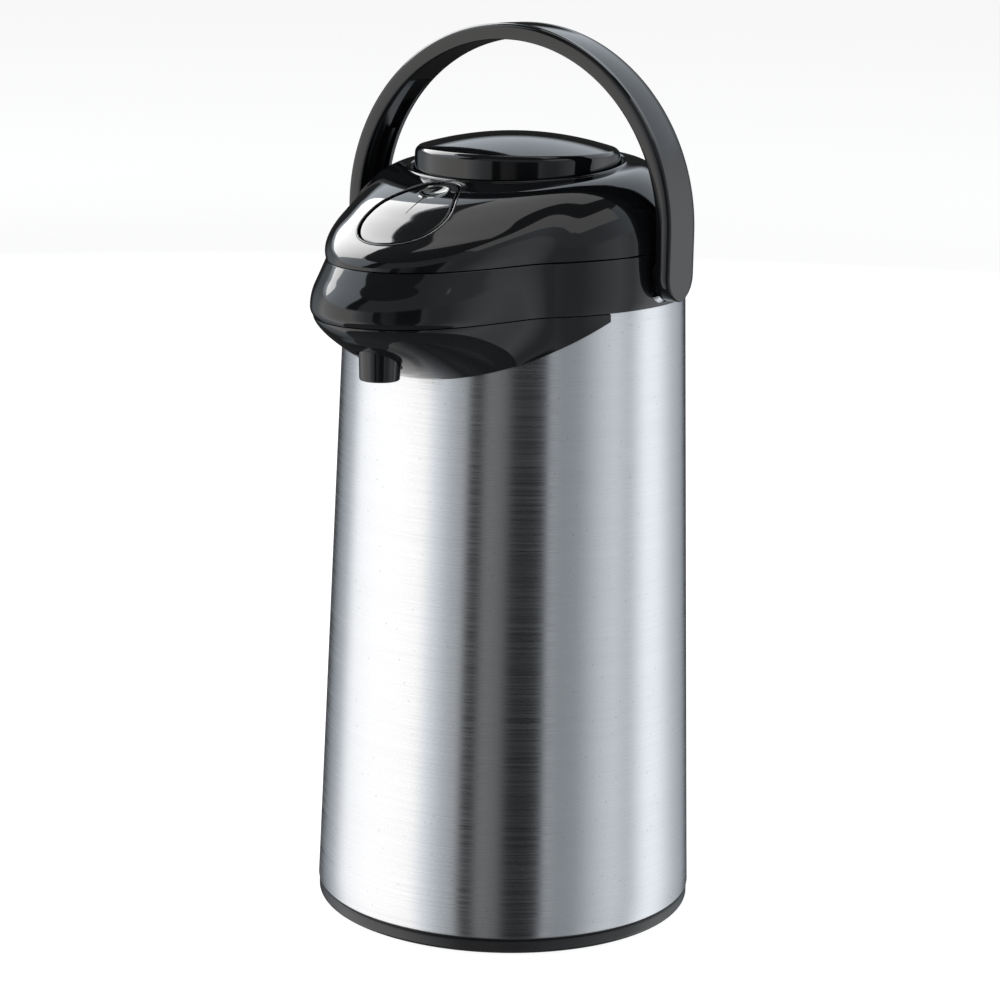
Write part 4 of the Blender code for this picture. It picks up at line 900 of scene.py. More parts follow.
# ------------------------------------------------------------------ collar and beak
@dataclass
class Collar:
    """The black band between the steel and the lid, with the beak's sides."""

    overhang: float = 0.0011
    reach: float = 0.1215
    bulge: float = 0.0020
    edge_height: float = 0.2790
    lower_slope: float = 0.025
    wall: float = 0.0022
    deck: float = 0.2855
    chimney: float = 0.0345
    chimney_wall: float = 0.0035
    chimney_top: float = 0.3000
    mouth: float = 0.0285
    funnel_low: float = 0.2750
    pocket_floor: float = 0.0749
    pocket_gap: float = 0.0013

    def outside(self) -> list[Section]:
        """Main levels of the outside, from the lower seam to the lid's."""
        side = self.reach_side()
        seam = DOME.seam - GAP / 2
        return [
            Section(side, self.reach, self.edge_height, self.lower_slope),
            Section(side + 0.0004, self.reach + self.bulge, self.edge_height + 0.0035, self.lower_slope),
            Section(side + 0.0003, self.reach + 0.0005, self.edge_height + 0.0110, DOME.slope),
            Section(DOME.side + 0.0003, DOME.reach + 0.0042, seam - 0.0050, DOME.slope),
            Section(DOME.side, DOME.reach, seam, DOME.slope),
        ]

    def reach_side(self) -> float:
        """Half width at the lower seam."""
        return BODY.top_radius + self.overhang

    def pocket(self, name: str, sign: int, grow: float = 0.0) -> bpy.types.Object:
        """The round-bottomed recess for a handle leg, as a cutting tool."""
        pivot = JOINTS["handle_swing"]["pos_m"]
        half = (HANDLE_HIGH.y - HANDLE_LOW.y) / 2 + self.pocket_gap + grow
        outline = [(half, 0.05), (-half, 0.05)]
        turns = [math.pi * i / 40 for i in range(41)]
        outline += [(-half * math.cos(a), -half * math.sin(a)) for a in turns]
        ends = [
            [Vector((sign * x, pivot[1] + y, pivot[2] + z)) for y, z in outline]
            for x in (self.pocket_floor, HANDLE_HIGH.x + 0.005)
        ]
        shape = Shape(name)
        shape.rings(ends)
        return shape.piece()

    def make(self) -> None:
        """Lofts the collar, cuts the pockets, and adds the catch posts, knuckles and pivot bosses."""
        sections = self.outside()
        top = sections[-1]
        steps = 40
        rim = 0.0005
        outside = rolled(sections[0], 0.0004, upper=False)
        outside += [between(sections, i / steps) for i in range(1, steps)]
        upper = rolled(top, rim, upper=True)
        deck_low = self.deck - 0.0020
        slot_side = BODY.radius(self.edge_height) + 2 * GAP
        chimney_out = self.chimney + self.chimney_wall
        inside = [
            top.moved(self.wall - rim, 0.0), top.moved(self.wall, -rim),
            Section(DOME.side - self.wall, self.reach - 0.0055, self.deck + 0.0012),
            Section(DOME.side - self.wall - 0.0012, self.reach - 0.0067, self.deck),
            level(chimney_out + 0.0010, self.deck), level(chimney_out, self.deck + 0.0010),
            level(chimney_out, self.chimney_top - 0.0008),
            level(chimney_out - 0.0003, self.chimney_top - 0.0002),
            level(chimney_out - 0.0009, self.chimney_top), level(self.chimney + 0.0009, self.chimney_top),
            level(self.chimney + 0.0003, self.chimney_top - 0.0002),
            level(self.chimney, self.chimney_top - 0.0008),
            level(self.chimney - 0.0010, self.deck), level(self.mouth + 0.0006, self.funnel_low + 0.0006),
            level(self.mouth, self.funnel_low), level(self.mouth + 0.0075, self.funnel_low),
            level(chimney_out, deck_low), Section(slot_side, self.reach - self.wall, deck_low),
            Section(slot_side, self.reach - self.wall, self.edge_height, self.lower_slope),
        ]
        shape = Shape("collar_shell")
        shape.rings([s.ring() for s in outside + upper + inside], closed=True)
        band = carve(shape.piece(), [self.pocket(f"pocket_{sign}", sign) for sign in (1, -1)])
        dress(merge(band, [self.fittings(deck_low)]), Body.POT, Slot.GLOSS, "collar")

    def fittings(self, deck_low: float) -> bpy.types.Object:
        """The catch posts that hold the lid down, the hinge knuckles and the pivot bosses."""
        shape = Shape("collar_fittings")
        hinge = JOINTS["lid_open"]["pos_m"]
        pivot = JOINTS["handle_swing"]["pos_m"]
        post_front = AXIS.y - POST_REACH
        for sign in (1, -1):
            left, right = HOOK_OFFSET * sign - HOOK_HALF, HOOK_OFFSET * sign + HOOK_HALF
            shape.block((left, post_front, deck_low), (right, post_front + 0.0025, CATCH_TOP))
            shape.block(
                (left, post_front - 0.0020, CATCH_TOP - 0.0025), (right, post_front + 0.0010, CATCH_TOP)
            )
            near, far = sorted(((KNUCKLE_HALF + 0.0005) * sign, 0.0170 * sign))
            shape.rod((near, *hinge[1:]), (far, *hinge[1:]), KNUCKLE_RADIUS)
            shape.block(
                (near, AXIS.y + DOME.side - 0.0020, hinge[2] - 0.0075), (far, hinge[1], hinge[2] - 0.0006)
            )
            shape.rod((sign * 0.0690, *pivot[1:]), (sign * (self.pocket_floor - 0.0002), *pivot[1:]), 0.0075)
        return shape.piece()


@dataclass
class BeakUnderside:
    """The plate that closes the beak from below, back to the steel."""

    half_angle: float = math.radians(66)
    drop: float = 0.0295
    edge: float = 0.0009
    thickness: float = 0.0030
    boss: float = 0.0168  # a faint round step about the outlet
    boss_rise: float = 0.0004

    def chin(self, angle: float) -> float:
        """Height of the plate's lower edge against the steel."""
        return BODY.edge_height - self.drop * math.cos(1.25 * angle)

    def make(self) -> None:
        """Lofts the plate from side to side and cuts the outlet's hole."""
        columns, rows = 144, 30
        start = Section(COLLAR.reach_side(), COLLAR.reach, COLLAR.edge_height - GAP, COLLAR.lower_slope)
        outlet = AXIS.y - NOZZLE_LOW.y - NOZZLE_HIGH.x
        lines = []
        for i in range(columns + 1):
            angle = self.half_angle * (2 * i / columns - 1)
            top = start.point(angle)
            from_radius = math.hypot(top.x, top.y - AXIS.y)
            outer, inner = [], []
            for j in range(rows + 1):
                share = (j / rows) ** 1.6
                height = top.z + (self.chin(angle) - top.z) * share**0.7
                steel = BODY.radius(height)
                radius = from_radius + (steel + GAP + self.edge - from_radius) * share
                away = math.hypot(radius * math.sin(angle), radius * math.cos(angle) - outlet)
                step = 1 / (1 + math.exp((away - self.boss) / 0.00022))
                back = max(radius - self.thickness, steel + GAP)
                flat = Vector((math.sin(angle), -math.cos(angle), 0.0))
                outer.append(AXIS + flat * radius + Vector((0, 0, height - self.boss_rise * step)))
                inner.append(AXIS + flat * back + Vector((0, 0, height + 0.0002)))
            lines.append(outer + inner[::-1])
        shape = Shape("beak_plate")
        shape.rings(lines)
        hole = Shape("outlet_hole")
        hole.rod((0, AXIS.y - outlet, 0.24), (0, AXIS.y - outlet, 0.30), NOZZLE_HIGH.x - 0.0025, 96)
        dress(carve(shape.piece(), [hole.piece()]), Body.POT, Slot.GLOSS, "beak_underside")


@dataclass
class Outlet:
    """The round nozzle that the coffee leaves by."""

    foot_radius: float = 0.0085
    flange: float = 0.0028
    bore: float = 0.0042
    socket: float = 0.0053

    def make(self) -> None:
        """Turns the nozzle, with a rounded lip and a flared mouth."""
        low, high = NOZZLE_LOW.z, NOZZLE_HIGH.z
        wide = NOZZLE_HIGH.x - self.flange
        corners = [
            (self.bore, low + 0.0060, 0.0), (self.bore, low + 0.0030, 0.0010),
            (self.foot_radius - 0.0024, low, 0.0008), (self.foot_radius, low, 0.0011),
            (wide - 0.0003, low + 0.0140, 0.0010), (wide, low + 0.0185, 0.0008),
            (wide, high - 0.0037, 0.0003), (NOZZLE_HIGH.x, high - 0.0037, 0.0004),
            (NOZZLE_HIGH.x, high, 0.0004), (self.socket, high, 0.0003),
            (self.socket, low + 0.0140, 0.0003), (self.bore, low + 0.0130, 0.0),
        ]
        shape = Shape("pouring_nozzle")
        shape.turned(rounded(corners), forward=AXIS.y - NOZZLE_LOW.y - NOZZLE_HIGH.x, segments=96)
        dress(shape.piece(), Body.POT, Slot.GLOSS, "spout_nozzle")


# ------------------------------------------------------------------ lid, lever and button
@dataclass
class Lid:
    """The domed lid round the button's well, with the lever's slot and what sits beside it."""

    wall: float = 0.0022
    well: float = 0.0462
    sleeve_wall: float = 0.0016
    sleeve_foot: float = 0.3160
    slot_gap: float = 0.0010
    lip: float = 0.00045
    ridges: int = 3

    def make(self) -> None:
        """Lofts the dome and its well, and cuts the lever's slot and the handle's pockets."""
        sections = DOME.sections()
        first = replace(sections[0], height=DOME.seam + GAP / 2)
        steps = 72
        outside = rolled(first, 0.0005, upper=False)
        outside += [between(sections, 0.02 + 0.98 * i / steps) for i in range(steps + 1)]
        rim = sections[-1]
        crest = [
            (0.0002, 0.00030), (0.0006, 0.00055), (0.0011, 0.00060), (0.0016, 0.00055), (0.0021, 0.00030),
            (rim.side - self.well, -0.00010),
        ]
        outside += [rim.moved(inset, rise) for inset, rise in crest]
        sleeve = self.well + self.sleeve_wall
        inside = [
            level(self.well, self.sleeve_foot + 0.0004), level(self.well + 0.0004, self.sleeve_foot),
            level(sleeve, self.sleeve_foot),
            replace(rim, side=sleeve, reach=sleeve, height=rim.height - 0.0026),
        ]
        under = [between(sections, 0.86 - 0.72 * i / 12) for i in range(13)]
        inside += [section.moved(self.wall, -0.9 * self.wall) for section in under]
        inside.append(first.moved(self.wall, 0.0))
        inside.append(first.moved(0.0012, 0.0))
        shape = Shape("lid_dome")
        shape.rings([s.ring() for s in outside + inside], closed=True)
        tools = [COLLAR.pocket(f"lid_pocket_{sign}", sign) for sign in (1, -1)]
        tools.append(self.slot_tool())
        dome = carve(shape.piece(), tools)
        dress(merge(dome, [self.fittings()]), Body.LID, Slot.GLOSS, "lid_cover")

    def slot_tool(self) -> bpy.types.Object:
        """The prism that cuts the lever's slot."""
        outline = [point for point, _ in LEVER_PLAN.outline(self.slot_gap)]
        shape = Shape("slot_tool")
        shape.rings([[Vector((p.x, AXIS.y - p.y, z)) for p in outline] for z in (0.300, 0.345)])
        return shape.piece()

    def fittings(self) -> bpy.types.Object:
        """The lever's lugs, the screw bosses and the hinge's middle knuckle."""
        shape = Shape("lid_fittings")
        pivot = JOINTS["lever_press"]["pos_m"]
        hinge = JOINTS["lid_open"]["pos_m"]
        for sign in (1, -1):
            x = sign * (LEVER_PLAN.front_half + 0.0028)
            roof = DOME.height(x, AXIS.y - pivot[1] + 0.0030) - 0.0022
            shape.block(
                (x - 0.0015, pivot[1] - 0.0030, pivot[2] - 0.0032), (x + 0.0015, pivot[1] + 0.0030, roof)
            )
        for i in range(4):
            low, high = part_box(f"lid_screw_{i + 1}")
            x, y = (low.x + high.x) / 2, (low.y + high.y) / 2
            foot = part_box("lid_base")[0].z + 0.0060
            roof = DOME.height(x, AXIS.y - y) - 0.0024
            shape.rod((x, y, foot), (x, y, roof), 0.0036, 24)
        shape.rod((-KNUCKLE_HALF, *hinge[1:]), (KNUCKLE_HALF, *hinge[1:]), KNUCKLE_RADIUS)
        shape.block(
            (-KNUCKLE_HALF, AXIS.y + DOME.side - self.wall, DOME.seam + 0.0008),
            (KNUCKLE_HALF, hinge[1], DOME.seam + 0.0030),
        )
        return shape.piece()

    def make_slot_lip(self) -> None:
        """The bead round the lever's slot, which catches the light."""
        grow = self.slot_gap + self.lip * 0.8
        points = [DOME.on_top(p.x, p.y, -self.lip * 0.25) for p, _ in LEVER_PLAN.outline(grow)]
        lip = grown(
            "lever_slot_lip", TREES.bead, points, path_edges(len(points), True), Slot.GLOSS,
            Radius=self.lip, Sides=12,
        )
        dress(lip, Body.LID, Slot.GLOSS)

    def make_ridges(self) -> None:
        """The stepped ridges behind the lever's rear end, where a fingertip rests."""
        lines, edges = [], []
        for k in range(self.ridges):
            grow = self.slot_gap + 0.0009 + 0.0008 * k
            radius = LEVER_PLAN.rear_half + grow
            centre = LEVER_PLAN.rear + LEVER_PLAN.rear_half
            steps = 26
            first = len(lines)
            for i in range(steps + 1):
                turn = math.radians(185 + (170 - 14 * k) * i / steps)
                lines.append(DOME.on_top(radius * math.cos(turn), centre + radius * math.sin(turn), -0.00012))
            edges += [(first + a, first + b) for a, b in path_edges(steps + 1, False)]
        ridges = grown("thumb_ridges", TREES.bead, lines, edges, Slot.GLOSS, Radius=0.00022, Sides=10)
        dress(ridges, Body.LID, Slot.GLOSS)


@dataclass
class Lever:
    """The teardrop release lever, with a finger dish near its rear end."""

    sunk: float = 0.00035
    thickness: float = 0.0022
    edge: float = 0.0007
    dish_forward: float = 0.0622
    dish_radius: float = 0.0060
    dish_depth: float = 0.0016
    dish_lip: float = 0.00022

    def top(self, x: float, forward: float, to_edge: float) -> float:
        """Height of the lever's top."""
        height = DOME.height(x, forward) - self.sunk
        if to_edge < self.edge:
            height -= self.edge - math.sqrt(self.edge**2 - (self.edge - to_edge) ** 2)
        away = math.hypot(x, forward - self.dish_forward)
        if away < self.dish_radius:
            height -= self.dish_depth * (1 - (away / self.dish_radius) ** 2) ** 0.75
        lip = (away - self.dish_radius - 0.0004) / 0.0005
        return height + self.dish_lip * math.exp(-lip * lip)

    def make(self) -> None:
        """Builds the lever from rings that shrink from its outline to its middle line."""
        shares = [0.0, 0.006, 0.015, 0.03, 0.05, 0.075] + [0.1 + 0.9 * i / 34 for i in range(35)]
        pairs = LEVER_PLAN.outline(0.0, 36)
        rings = []
        for share in shares:
            ring = []
            for edge, spine in pairs:
                place = edge.lerp(spine, share)
                to_edge = (edge - place).length
                ring.append(Vector((place.x, AXIS.y - place.y, self.top(place.x, place.y, to_edge))))
            rings.append(ring)
        under = []
        for share in (1.0, 0.6, 0.3, 0.0):
            ring = []
            for edge, spine in pairs:
                place = edge.lerp(spine, share)
                low = DOME.height(place.x, place.y) - self.sunk - self.edge - self.thickness
                ring.append(Vector((place.x, AXIS.y - place.y, low)))
            under.append(ring)
        shape = Shape("latch_lever")
        shape.rings(rings[::-1] + under[::-1], closed=True)
        cap = shape.piece()
        data = bmesh.new()
        data.from_mesh(cap.data)
        bmesh.ops.remove_doubles(data, verts=data.verts, dist=0.000002)
        bmesh.ops.dissolve_degenerate(data, edges=data.edges, dist=0.0000005)
        data.to_mesh(cap.data)
        data.free()
        dress(merge(cap, [self.hooks()]), Body.LEVER, Slot.GLOSS, "release_lever")

    def hooks(self) -> bpy.types.Object:
        """The lever's pivot boss and the two hooks that hold the lid down."""
        shape = Shape("lever_hooks")
        pivot = JOINTS["lever_press"]["pos_m"]
        wide, deep = 0.0120, 0.0028  # half sizes of the boss
        roof = DOME.height(wide, AXIS.y - pivot[1] + deep) - 0.0018
        shape.block((-wide, pivot[1] - deep, pivot[2] - deep), (wide, pivot[1] + deep, roof))
        front = AXIS.y - HOOK_REACH
        for sign in (1, -1):
            x = HOOK_OFFSET * sign
            left, right = x - HOOK_HALF, x + HOOK_HALF
            roof = DOME.height(x, HOOK_REACH) - 0.0016
            shape.block((left, front - 0.0012, HOOK_FOOT), (right, front + 0.0012, roof))
            shape.block((left, front, HOOK_FOOT), (right, front + 0.0021, HOOK_FOOT + 0.0028))
        return shape.piece()


@dataclass
class Button:
    """The pump button: a crowned top, a rolled rim and a straight wall."""

    crown: float = 0.0065
    rim: float = 0.0428
    wall: float = 0.0022

    def make(self) -> None:
        """Turns the button."""
        top, foot, radius = BUTTON_HIGH.z, BUTTON_LOW.z, BUTTON_HIGH.x
        steps = 30
        rim_height = top - self.crown
        line = [(self.rim * i / steps, top - self.crown * (i / steps) ** 2) for i in range(steps)]
        line += rounded([
            (self.rim * 0.985, top - self.crown * 0.97, 0.0),
            (self.rim + 0.0004, rim_height - 0.0001, 0.0006),
            (radius - 0.0003, rim_height - 0.0016, 0.0009), (radius, rim_height - 0.0036, 0.0010),
            (radius, foot, 0.0006), (radius - self.wall, foot, 0.0005),
            (radius - self.wall, rim_height - self.wall, 0.0010), (radius * 0.5, rim_height + 0.0020, 0.0),
        ])
        line.append((0.0, top - self.wall))
        shape = Shape("pump_button")
        shape.turned(line, segments=192)
        dress(shape.piece(), Body.BUTTON, Slot.GLOSS, "push_button")


@dataclass
class Pump:
    """The bellows and the springs under the lid."""

    folds: int = 5
    depth: float = 0.0070
    wall: float = 0.0012

    def make_bellows(self) -> None:
        """Turns the bellows from a wave."""
        low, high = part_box("bellows")
        steps = 12 * self.folds
        line = []
        for i in range(steps + 1):
            wave = 0.5 - 0.5 * math.cos(math.tau * self.folds * i / steps)
            line.append((high.x - self.depth * wave, low.z + (high.z - low.z) * i / steps))
        line += [(radius - self.wall, height) for radius, height in line[::-1]]
        shape = Shape("pump_bellows")
        shape.turned(line, segments=96)
        bellows = dress(shape.piece(), Body.LID, Slot.RUBBER, "bellows")
        self.shorten(bellows, "button_press", low.z, high.z, JOINTS["button_press"]["range_m"][1])

    def make_spring(self, name: str, node: str, joint: str, wire: float, turns: float, travel: float) -> None:
        """Grows a spring in the place of a CAD one.

        Args:
            name: the piece's name.
            node: the CAD spring that it stands for.
            joint: not used.
            wire: the wire's radius.
            turns: the number of turns.
            travel: not used.
        """
        low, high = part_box(node)
        place = (low + high) / 2
        spring = grown(
            name, TREES.coil, [Vector()], [], Slot.PIN, Radius=(high.x - low.x) / 2 - wire, Wire=wire,
            Height=high.z - low.z - 2 * wire, Turns=turns, Place=(place.x, place.y, low.z + wire),
        )
        dress(spring, Body.LID, Slot.PIN, node)
        self.shorten(spring, joint, low.z, high.z, travel)

    @staticmethod
    def shorten(piece: bpy.types.Object, joint: str, low: float, high: float, travel: float) -> None:
        """Gives a piece its own copy of its mesh."""
        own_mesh(piece)


# ------------------------------------------------------------------ handle
@dataclass
class Handle:
    """The arched carrying handle: a wide strap with a channel down the inside of each leg."""

    thickness: float = 0.0070
    corner: float = 0.0021
    crown: float = 0.0004
    rim: float = 0.0032
    channel: float = 0.0026
    channel_top: float = math.radians(47)  # above the arch's springing line
    rib_top: float = math.radians(26)
    lug_radius: float = 0.0080

    def outer(self) -> float:
        """Radius of the arch's outside."""
        return HANDLE_HIGH.x

    def spring_line(self) -> float:
        """Height of the arch's centre."""
        return HANDLE_HIGH.z - self.outer()

    def stations(self) -> list[tuple[Vector, Vector, float, float]]:
        """Places along the strap: its middle, the way out, its half width and the channel's depth."""
        pivot = JOINTS["handle_swing"]["pos_m"][2]
        half = (HANDLE_HIGH.y - HANDLE_LOW.y) / 2
        middle = self.outer() - self.thickness / 2
        leg = []
        for k in range(13):
            turn = math.pi / 2 * (k / 12 - 1)
            width = max(half * math.cos(turn), 0.0009)
            leg.append((pivot + half * math.sin(turn), width, 0.0))
        for k in range(1, 7):
            leg.append((pivot + (self.spring_line() - pivot) * k / 6, half, min(1.0, k / 2) * self.channel))
        path = [(Vector((middle, AXIS.y, z)), Vector((1, 0, 0)), width, deep) for z, width, deep in leg]
        centre = Vector((0, AXIS.y, self.spring_line()))
        steps = 120
        for i in range(1, steps):
            turn = math.pi * i / steps
            out = Vector((math.cos(turn), 0, math.sin(turn)))
            above = min(turn, math.pi - turn)
            deep = max(0.0, min(1.0, (self.channel_top - above) / math.radians(2))) * self.channel
            path.append((centre + out * middle, out, half, deep))
        for place, _, width, deep in path[18::-1]:
            path.append((Vector((-place.x, place.y, place.z)), Vector((-1, 0, 0)), width, deep))
        return path

    def cross_section(self, place: tuple[Vector, Vector, float, float]) -> list[Vector]:
        """The strap's outline at a station."""
        centre, out, half, deep = place
        thick = self.thickness / 2
        corner = min(self.corner, half * 0.6)
        flat = half - corner
        outline = []
        for k in range(9):
            y = flat * (1 - k / 4)
            outline.append((y, thick + self.crown * (1 - (y / half) ** 2) - self.crown))
        for k in range(1, 6):
            turn = math.pi / 2 * k / 6
            outline.append((-flat - corner * math.sin(turn), thick - corner * (1 - math.cos(turn))))
        soft = corner * 0.5
        outline += [(-half, -thick + soft), (-half + 0.3 * soft, -thick + 0.3 * soft), (-half + soft, -thick)]
        rim = max(0.0, min(self.rim, half - soft - 0.0004))
        edge = half - max(rim, soft + 0.0002)
        for y, depth in ((-edge, 0.0), (-edge, deep), (0.0, deep), (edge, deep), (edge, 0.0)):
            outline.append((y, -thick + depth))
        outline += [(half - soft, -thick), (half - 0.3 * soft, -thick + 0.3 * soft), (half, -thick + soft)]
        for k in range(5, 0, -1):
            turn = math.pi / 2 * k / 6
            outline.append((flat + corner * math.sin(turn), thick - corner * (1 - math.cos(turn))))
        across = Vector((0, 1, 0))
        return [centre + across * y + out * rise for y, rise in outline]

    def make(self) -> None:
        """Lofts the strap and adds the pivot lugs and a rib down each channel."""
        strap = Shape("carry_handle")
        strap.rings([self.cross_section(place) for place in self.stations()])
        lugs = Shape("handle_lugs")
        pivot = JOINTS["handle_swing"]["pos_m"]
        inner = self.outer() - self.thickness
        for sign in (1, -1):
            lugs.rod(
                (sign * (COLLAR.pocket_floor + GAP), *pivot[1:]), (sign * (inner + 0.001), *pivot[1:]),
                self.lug_radius, 48,
            )
            self.add_rib(lugs, sign)
        dress(merge(strap.piece(), [lugs.piece()]), Body.HANDLE, Slot.GLOSS, "handle")

    def add_rib(self, shape: Shape, sign: int) -> None:
        """Adds the rib that stiffens one leg's channel."""
        centre = Vector((0, AXIS.y, self.spring_line()))
        inner = self.outer() - self.thickness
        low, high = inner + 0.0008, inner + self.channel + 0.0004
        rings = []
        for i in range(19):
            turn = self.rib_top * i / 18
            out = Vector((sign * math.cos(turn), 0, math.sin(turn)))
            rings.append([
                centre + out * r + Vector((0, y, 0))
                for r, y in ((low, 0.0034), (low, 0.0058), (high, 0.0062), (high, 0.0030))
            ])
        shape.rings(rings)


# ------------------------------------------------------------------ studio
@dataclass
class Studio:
    """Camera, floor and a light tent, none of which belongs to the pot."""

    azimuth: float = math.radians(34)
    distance: float = 1.2182
    height: float = 0.457
    lens: float = 100.06
    look_down: float = 0.2212
    roll: float = 0.0199
    turned_in: float = 0.0039
    tent_radius: float = 2.2

    def make_camera(self) -> None:
        """Places the camera."""
        camera = bpy.data.objects.new("camera", bpy.data.cameras.new("camera"))
        camera.data.lens = self.lens
        camera.data.sensor_width = 36.0
        camera.data.clip_end = 60.0
        stand = AXIS + Vector((
            self.distance * math.sin(self.azimuth), -self.distance * math.cos(self.azimuth), self.height,
        ))
        aim = Matrix.Rotation(self.azimuth + self.turned_in, 4, "Z")
        aim = aim @ Matrix.Rotation(math.pi / 2 - self.look_down, 4, "X") @ Matrix.Rotation(self.roll, 4, "Z")
        camera.matrix_world = Matrix.Translation(stand) @ aim
        bpy.context.scene.collection.objects.link(camera)
        bpy.context.scene.camera = camera

    def make_world(self) -> None:
        """A white background that lights the pot only faintly."""
        world = bpy.data.worlds.new("studio")
        bpy.context.scene.world = world
        world.use_nodes = True
        board = Board(world.node_tree)
        seen = board.add("ShaderNodeLightPath").outputs["Is Camera Ray"]
        strength = board.add("ShaderNodeMapRange", {"Value": seen, "To Min": 0.10, "To Max": 1.0})
        backdrop = world.node_tree.nodes["Background"]
        backdrop.inputs["Color"].default_value = (1.0, 1.0, 1.0, 1.0)
        world.node_tree.links.new(strength.outputs["Result"], backdrop.inputs["Strength"])
        bpy.context.scene.view_settings.view_transform = "Standard"

    def stage_object(self, name: str, data: bpy.types.Mesh, material: bpy.types.Material) -> bpy.types.Object:
        """Puts something in the studio that isn't part of the pot."""
        made = bpy.data.objects.new(name, data)
        bpy.context.scene.collection.objects.link(made)
        data.materials.append(material)
        return made

    def make_floor(self) -> None:
        """A plain pale floor."""
        material, _, shader = new_material("pale_floor")
        shader.inputs["Base Color"].default_value = (0.30, 0.30, 0.30, 1.0)
        shader.inputs["Roughness"].default_value = 0.9
        shader.inputs["Specular IOR Level"].default_value = 0.0
        shader.inputs["Emission Color"].default_value = (1.0, 1.0, 1.0, 1.0)
        shader.inputs["Emission Strength"].default_value = 0.90
        half = 40.0
        data = bpy.data.meshes.new("floor")
        corners = [(-half, -half, 0), (half, -half, 0), (half, half, 0), (-half, half, 0)]
        data.from_pydata(corners, [], [(0, 1, 2, 3)])
        floor = self.stage_object("floor", data, material)
        floor.visible_glossy = False
        floor.visible_shadow = False

    def tent_material(self) -> bpy.types.Material:
        """The tent wall's brightness: one run of tones low down, another above the pot."""
        material, board, _ = new_material("tent_wall")
        split = board.add("ShaderNodeSeparateXYZ", {"Vector": board.add("ShaderNodeUVMap").outputs["UV"]})
        ramps = []
        for stops in (LOW_TONES, HIGH_TONES):
            ramp = board.add("ShaderNodeValToRGB", {"Fac": split.outputs["X"]})
            elements = ramp.color_ramp.elements
            elements.remove(elements[1])
            for i, (degrees, tone, warmth) in enumerate(stops):
                place = (degrees + 180) / 360
                item = elements[0] if i == 0 else elements.new(place)
                item.position = place
                item.color = (tone * (1 + warmth), tone, tone * (1 - warmth), 1.0)
            ramps.append(ramp.outputs["Color"])
        rise = board.add(
            "ShaderNodeMapRange",
            {"Value": split.outputs["Y"], "From Min": TENT_SPLIT[0], "From Max": TENT_SPLIT[1]},
        )
        mixed = board.add("ShaderNodeMix", {"Factor": rise.outputs["Result"]}, data_type="RGBA")
        color_inputs = [s for s in mixed.inputs if s.type == "RGBA"]
        for socket, ramp_color in zip(color_inputs, ramps):
            board.tree.links.new(ramp_color, socket)
        color_out = next(s for s in mixed.outputs if s.type == "RGBA")
        glow(board, color_out, TENT_STRENGTH)
        return material

    def make_tent(self) -> None:
        """The wall of the light tent, whose tones draw the steel's bands."""
        low, high, steps = TENT_LOW, TENT_HIGH, 180
        data = bpy.data.meshes.new("tent_wall")
        points = []
        for i in range(steps + 1):
            turn = self.azimuth - math.pi + math.tau * i / steps
            for z in (low, high):
                points.append((
                    AXIS.x + self.tent_radius * math.sin(turn), AXIS.y - self.tent_radius * math.cos(turn), z,
                ))
        faces = [(2 * i, 2 * i + 1, 2 * i + 3, 2 * i + 2) for i in range(steps)]
        data.from_pydata(points, [], faces)
        layer = data.uv_layers.new(name="wall")
        for face in data.polygons:
            for corner, index in zip(face.loop_indices, face.vertices):
                layer.data[corner].uv = (index // 2 / steps, points[index][2])
        wall = self.stage_object("tent_wall", data, self.tent_material())
        wall.visible_camera = False
        wall.visible_shadow = False

    def make_panel(self, name: str, centre: Vector, size: tuple[float, float], strength: float) -> None:
        """A soft box that faces the lid.

        Args:
            name: the panel's name.
            centre: its middle.
            size: its width and height.
            strength: how bright it is.
        """
        target = AXIS + Vector((0, 0, 0.32))
        turn = (target - centre).to_track_quat("-Z", "Y").to_matrix().to_4x4()
        half_wide, half_high = size[0] / 2, size[1] / 2
        data = bpy.data.meshes.new(name)
        corners = [(-half_wide, -half_high, 0), (half_wide, -half_high, 0)]
        corners += [(half_wide, half_high, 0), (-half_wide, half_high, 0)]
        data.from_pydata(corners, [], [(0, 1, 2, 3)])
        data.transform(Matrix.Translation(centre) @ turn)
        material, board, _ = new_material(name)
        glow(board, (1.0, 1.0, 1.0, 1.0), strength)
        panel = self.stage_object(name, data, material)
        panel.visible_camera = False
        panel.visible_shadow = False

    def make(self) -> None:
        """Sets up the whole studio."""
        self.make_camera()
        self.make_world()
        self.make_floor()
        self.make_tent()
        for name, side, away, up, size, strength in PANELS:
            turn = self.azimuth + math.radians(side)
            centre = AXIS + Vector((away * math.sin(turn), -away * math.cos(turn), up))
            self.make_panel(name, centre, size, strength)


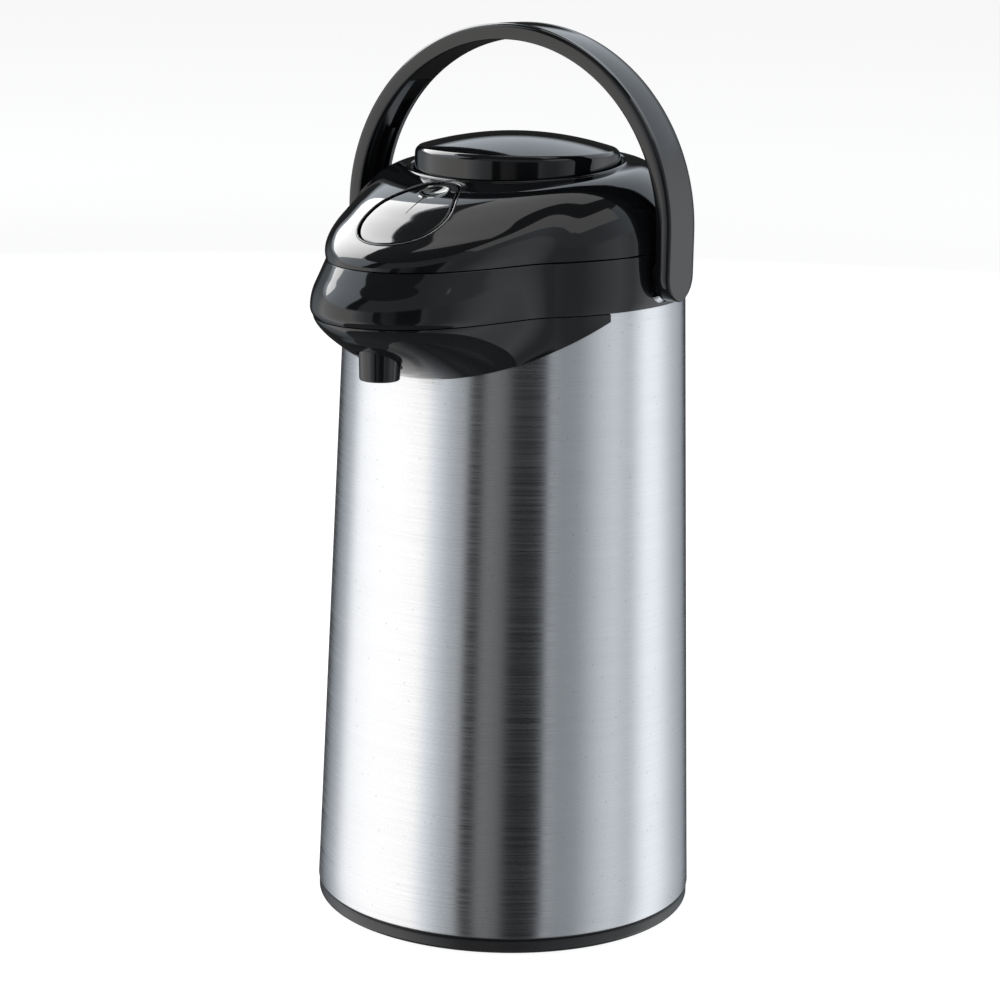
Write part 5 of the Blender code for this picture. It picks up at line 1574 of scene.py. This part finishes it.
# Tent tones: degrees round from the camera towards its right, brightness, and warmth
LOW_TONES = (
    (-180, 0.01, 0.0), (-154, 0.012, 0.0), (-146, 0.10, -0.10), (-128, 0.24, -0.06), (-114, 0.56, 0.0),
    (-94, 0.62, 0.02), (-58, 0.64, 0.03), (-50, 0.44, -0.04), (-38, 0.24, -0.06), (-29, 0.20, 0.0),
    (-27, 0.008, 0.0), (-20, 0.008, 0.0), (-16, 0.10, 0.0), (-4, 0.065, 0.0), (1, 0.006, 0.0),
    (15, 0.006, 0.0), (22, 0.012, 0.0), (24, 0.21, -0.04), (32, 0.14, -0.06), (44, 0.15, -0.06),
    (60, 0.30, -0.04), (70, 0.36, -0.04), (82, 0.25, -0.06), (97, 0.54, -0.03), (108, 0.53, -0.03),
    (128, 0.28, -0.05), (148, 0.16, -0.10), (156, 0.015, 0.0), (179, 0.01, 0.0),
)
HIGH_TONES = (
    (-180, 0.50, -0.08), (-130, 0.80, -0.08), (-74, 0.80, -0.08), (-70, 0.015, 0.0), (-54, 0.015, 0.0),
    (-51, 0.16, -0.06), (20, 0.14, -0.06), (60, 0.20, -0.08), (100, 0.45, -0.08), (179, 0.50, -0.08),
)
TENT_STRENGTH = 2.4
TENT_LOW, TENT_HIGH = -2.4, 3.2
TENT_SPLIT = (0.95, 1.15)
# Soft boxes: name, degrees round from the camera, distance, height, width and height, strength
PANELS = (
    ("softbox_behind_left", -138, 1.15, 1.20, (0.95, 0.80), 6.5),
    ("softbox_above", 150, 0.55, 2.00, (1.2, 0.9), 1.3),
    ("softbox_right", 60, 1.30, 1.75, (1.0, 0.7), 1.2),
)

BODY = SteelBody()
COLLAR = Collar()


def dress_inner_nodes() -> None:
    """Gives every CAD node that still shows the finish of its slot."""
    slots = {item["node"]: Slot(item["material_slot"]) for item in frame["record"]["subparts"]}
    for name, node in sorted(frame["nodes"].items()):
        if node.hide_render:
            continue
        node.data.materials.clear()
        node.data.materials.append(MATERIALS[slots[name]])
        LOG.info("%s: dressed as %s", name, slots[name].value)


def main() -> None:
    """Builds the pot's pieces and the studio."""
    logging.basicConfig(level=logging.INFO, format="%(message)s")
    BODY.make_shell()
    BODY.make_ring()
    BODY.make_base_details()
    COLLAR.make()
    BeakUnderside().make()
    Outlet().make()
    lid = Lid()
    lid.make()
    lid.make_slot_lip()
    lid.make_ridges()
    Lever().make()
    Button().make()
    pump = Pump()
    pump.make_bellows()
    travel = JOINTS["button_press"]["range_m"][1]
    pump.make_spring("return_spring", "button_spring", "button_press", 0.0008, 5, travel)
    pump.make_spring("latch_spring", "lever_spring", "lever_press", 0.0004, 4, 0.0011)
    Handle().make()
    dress_inner_nodes()
    Studio().make()


if __name__ == "__main__":
    main()
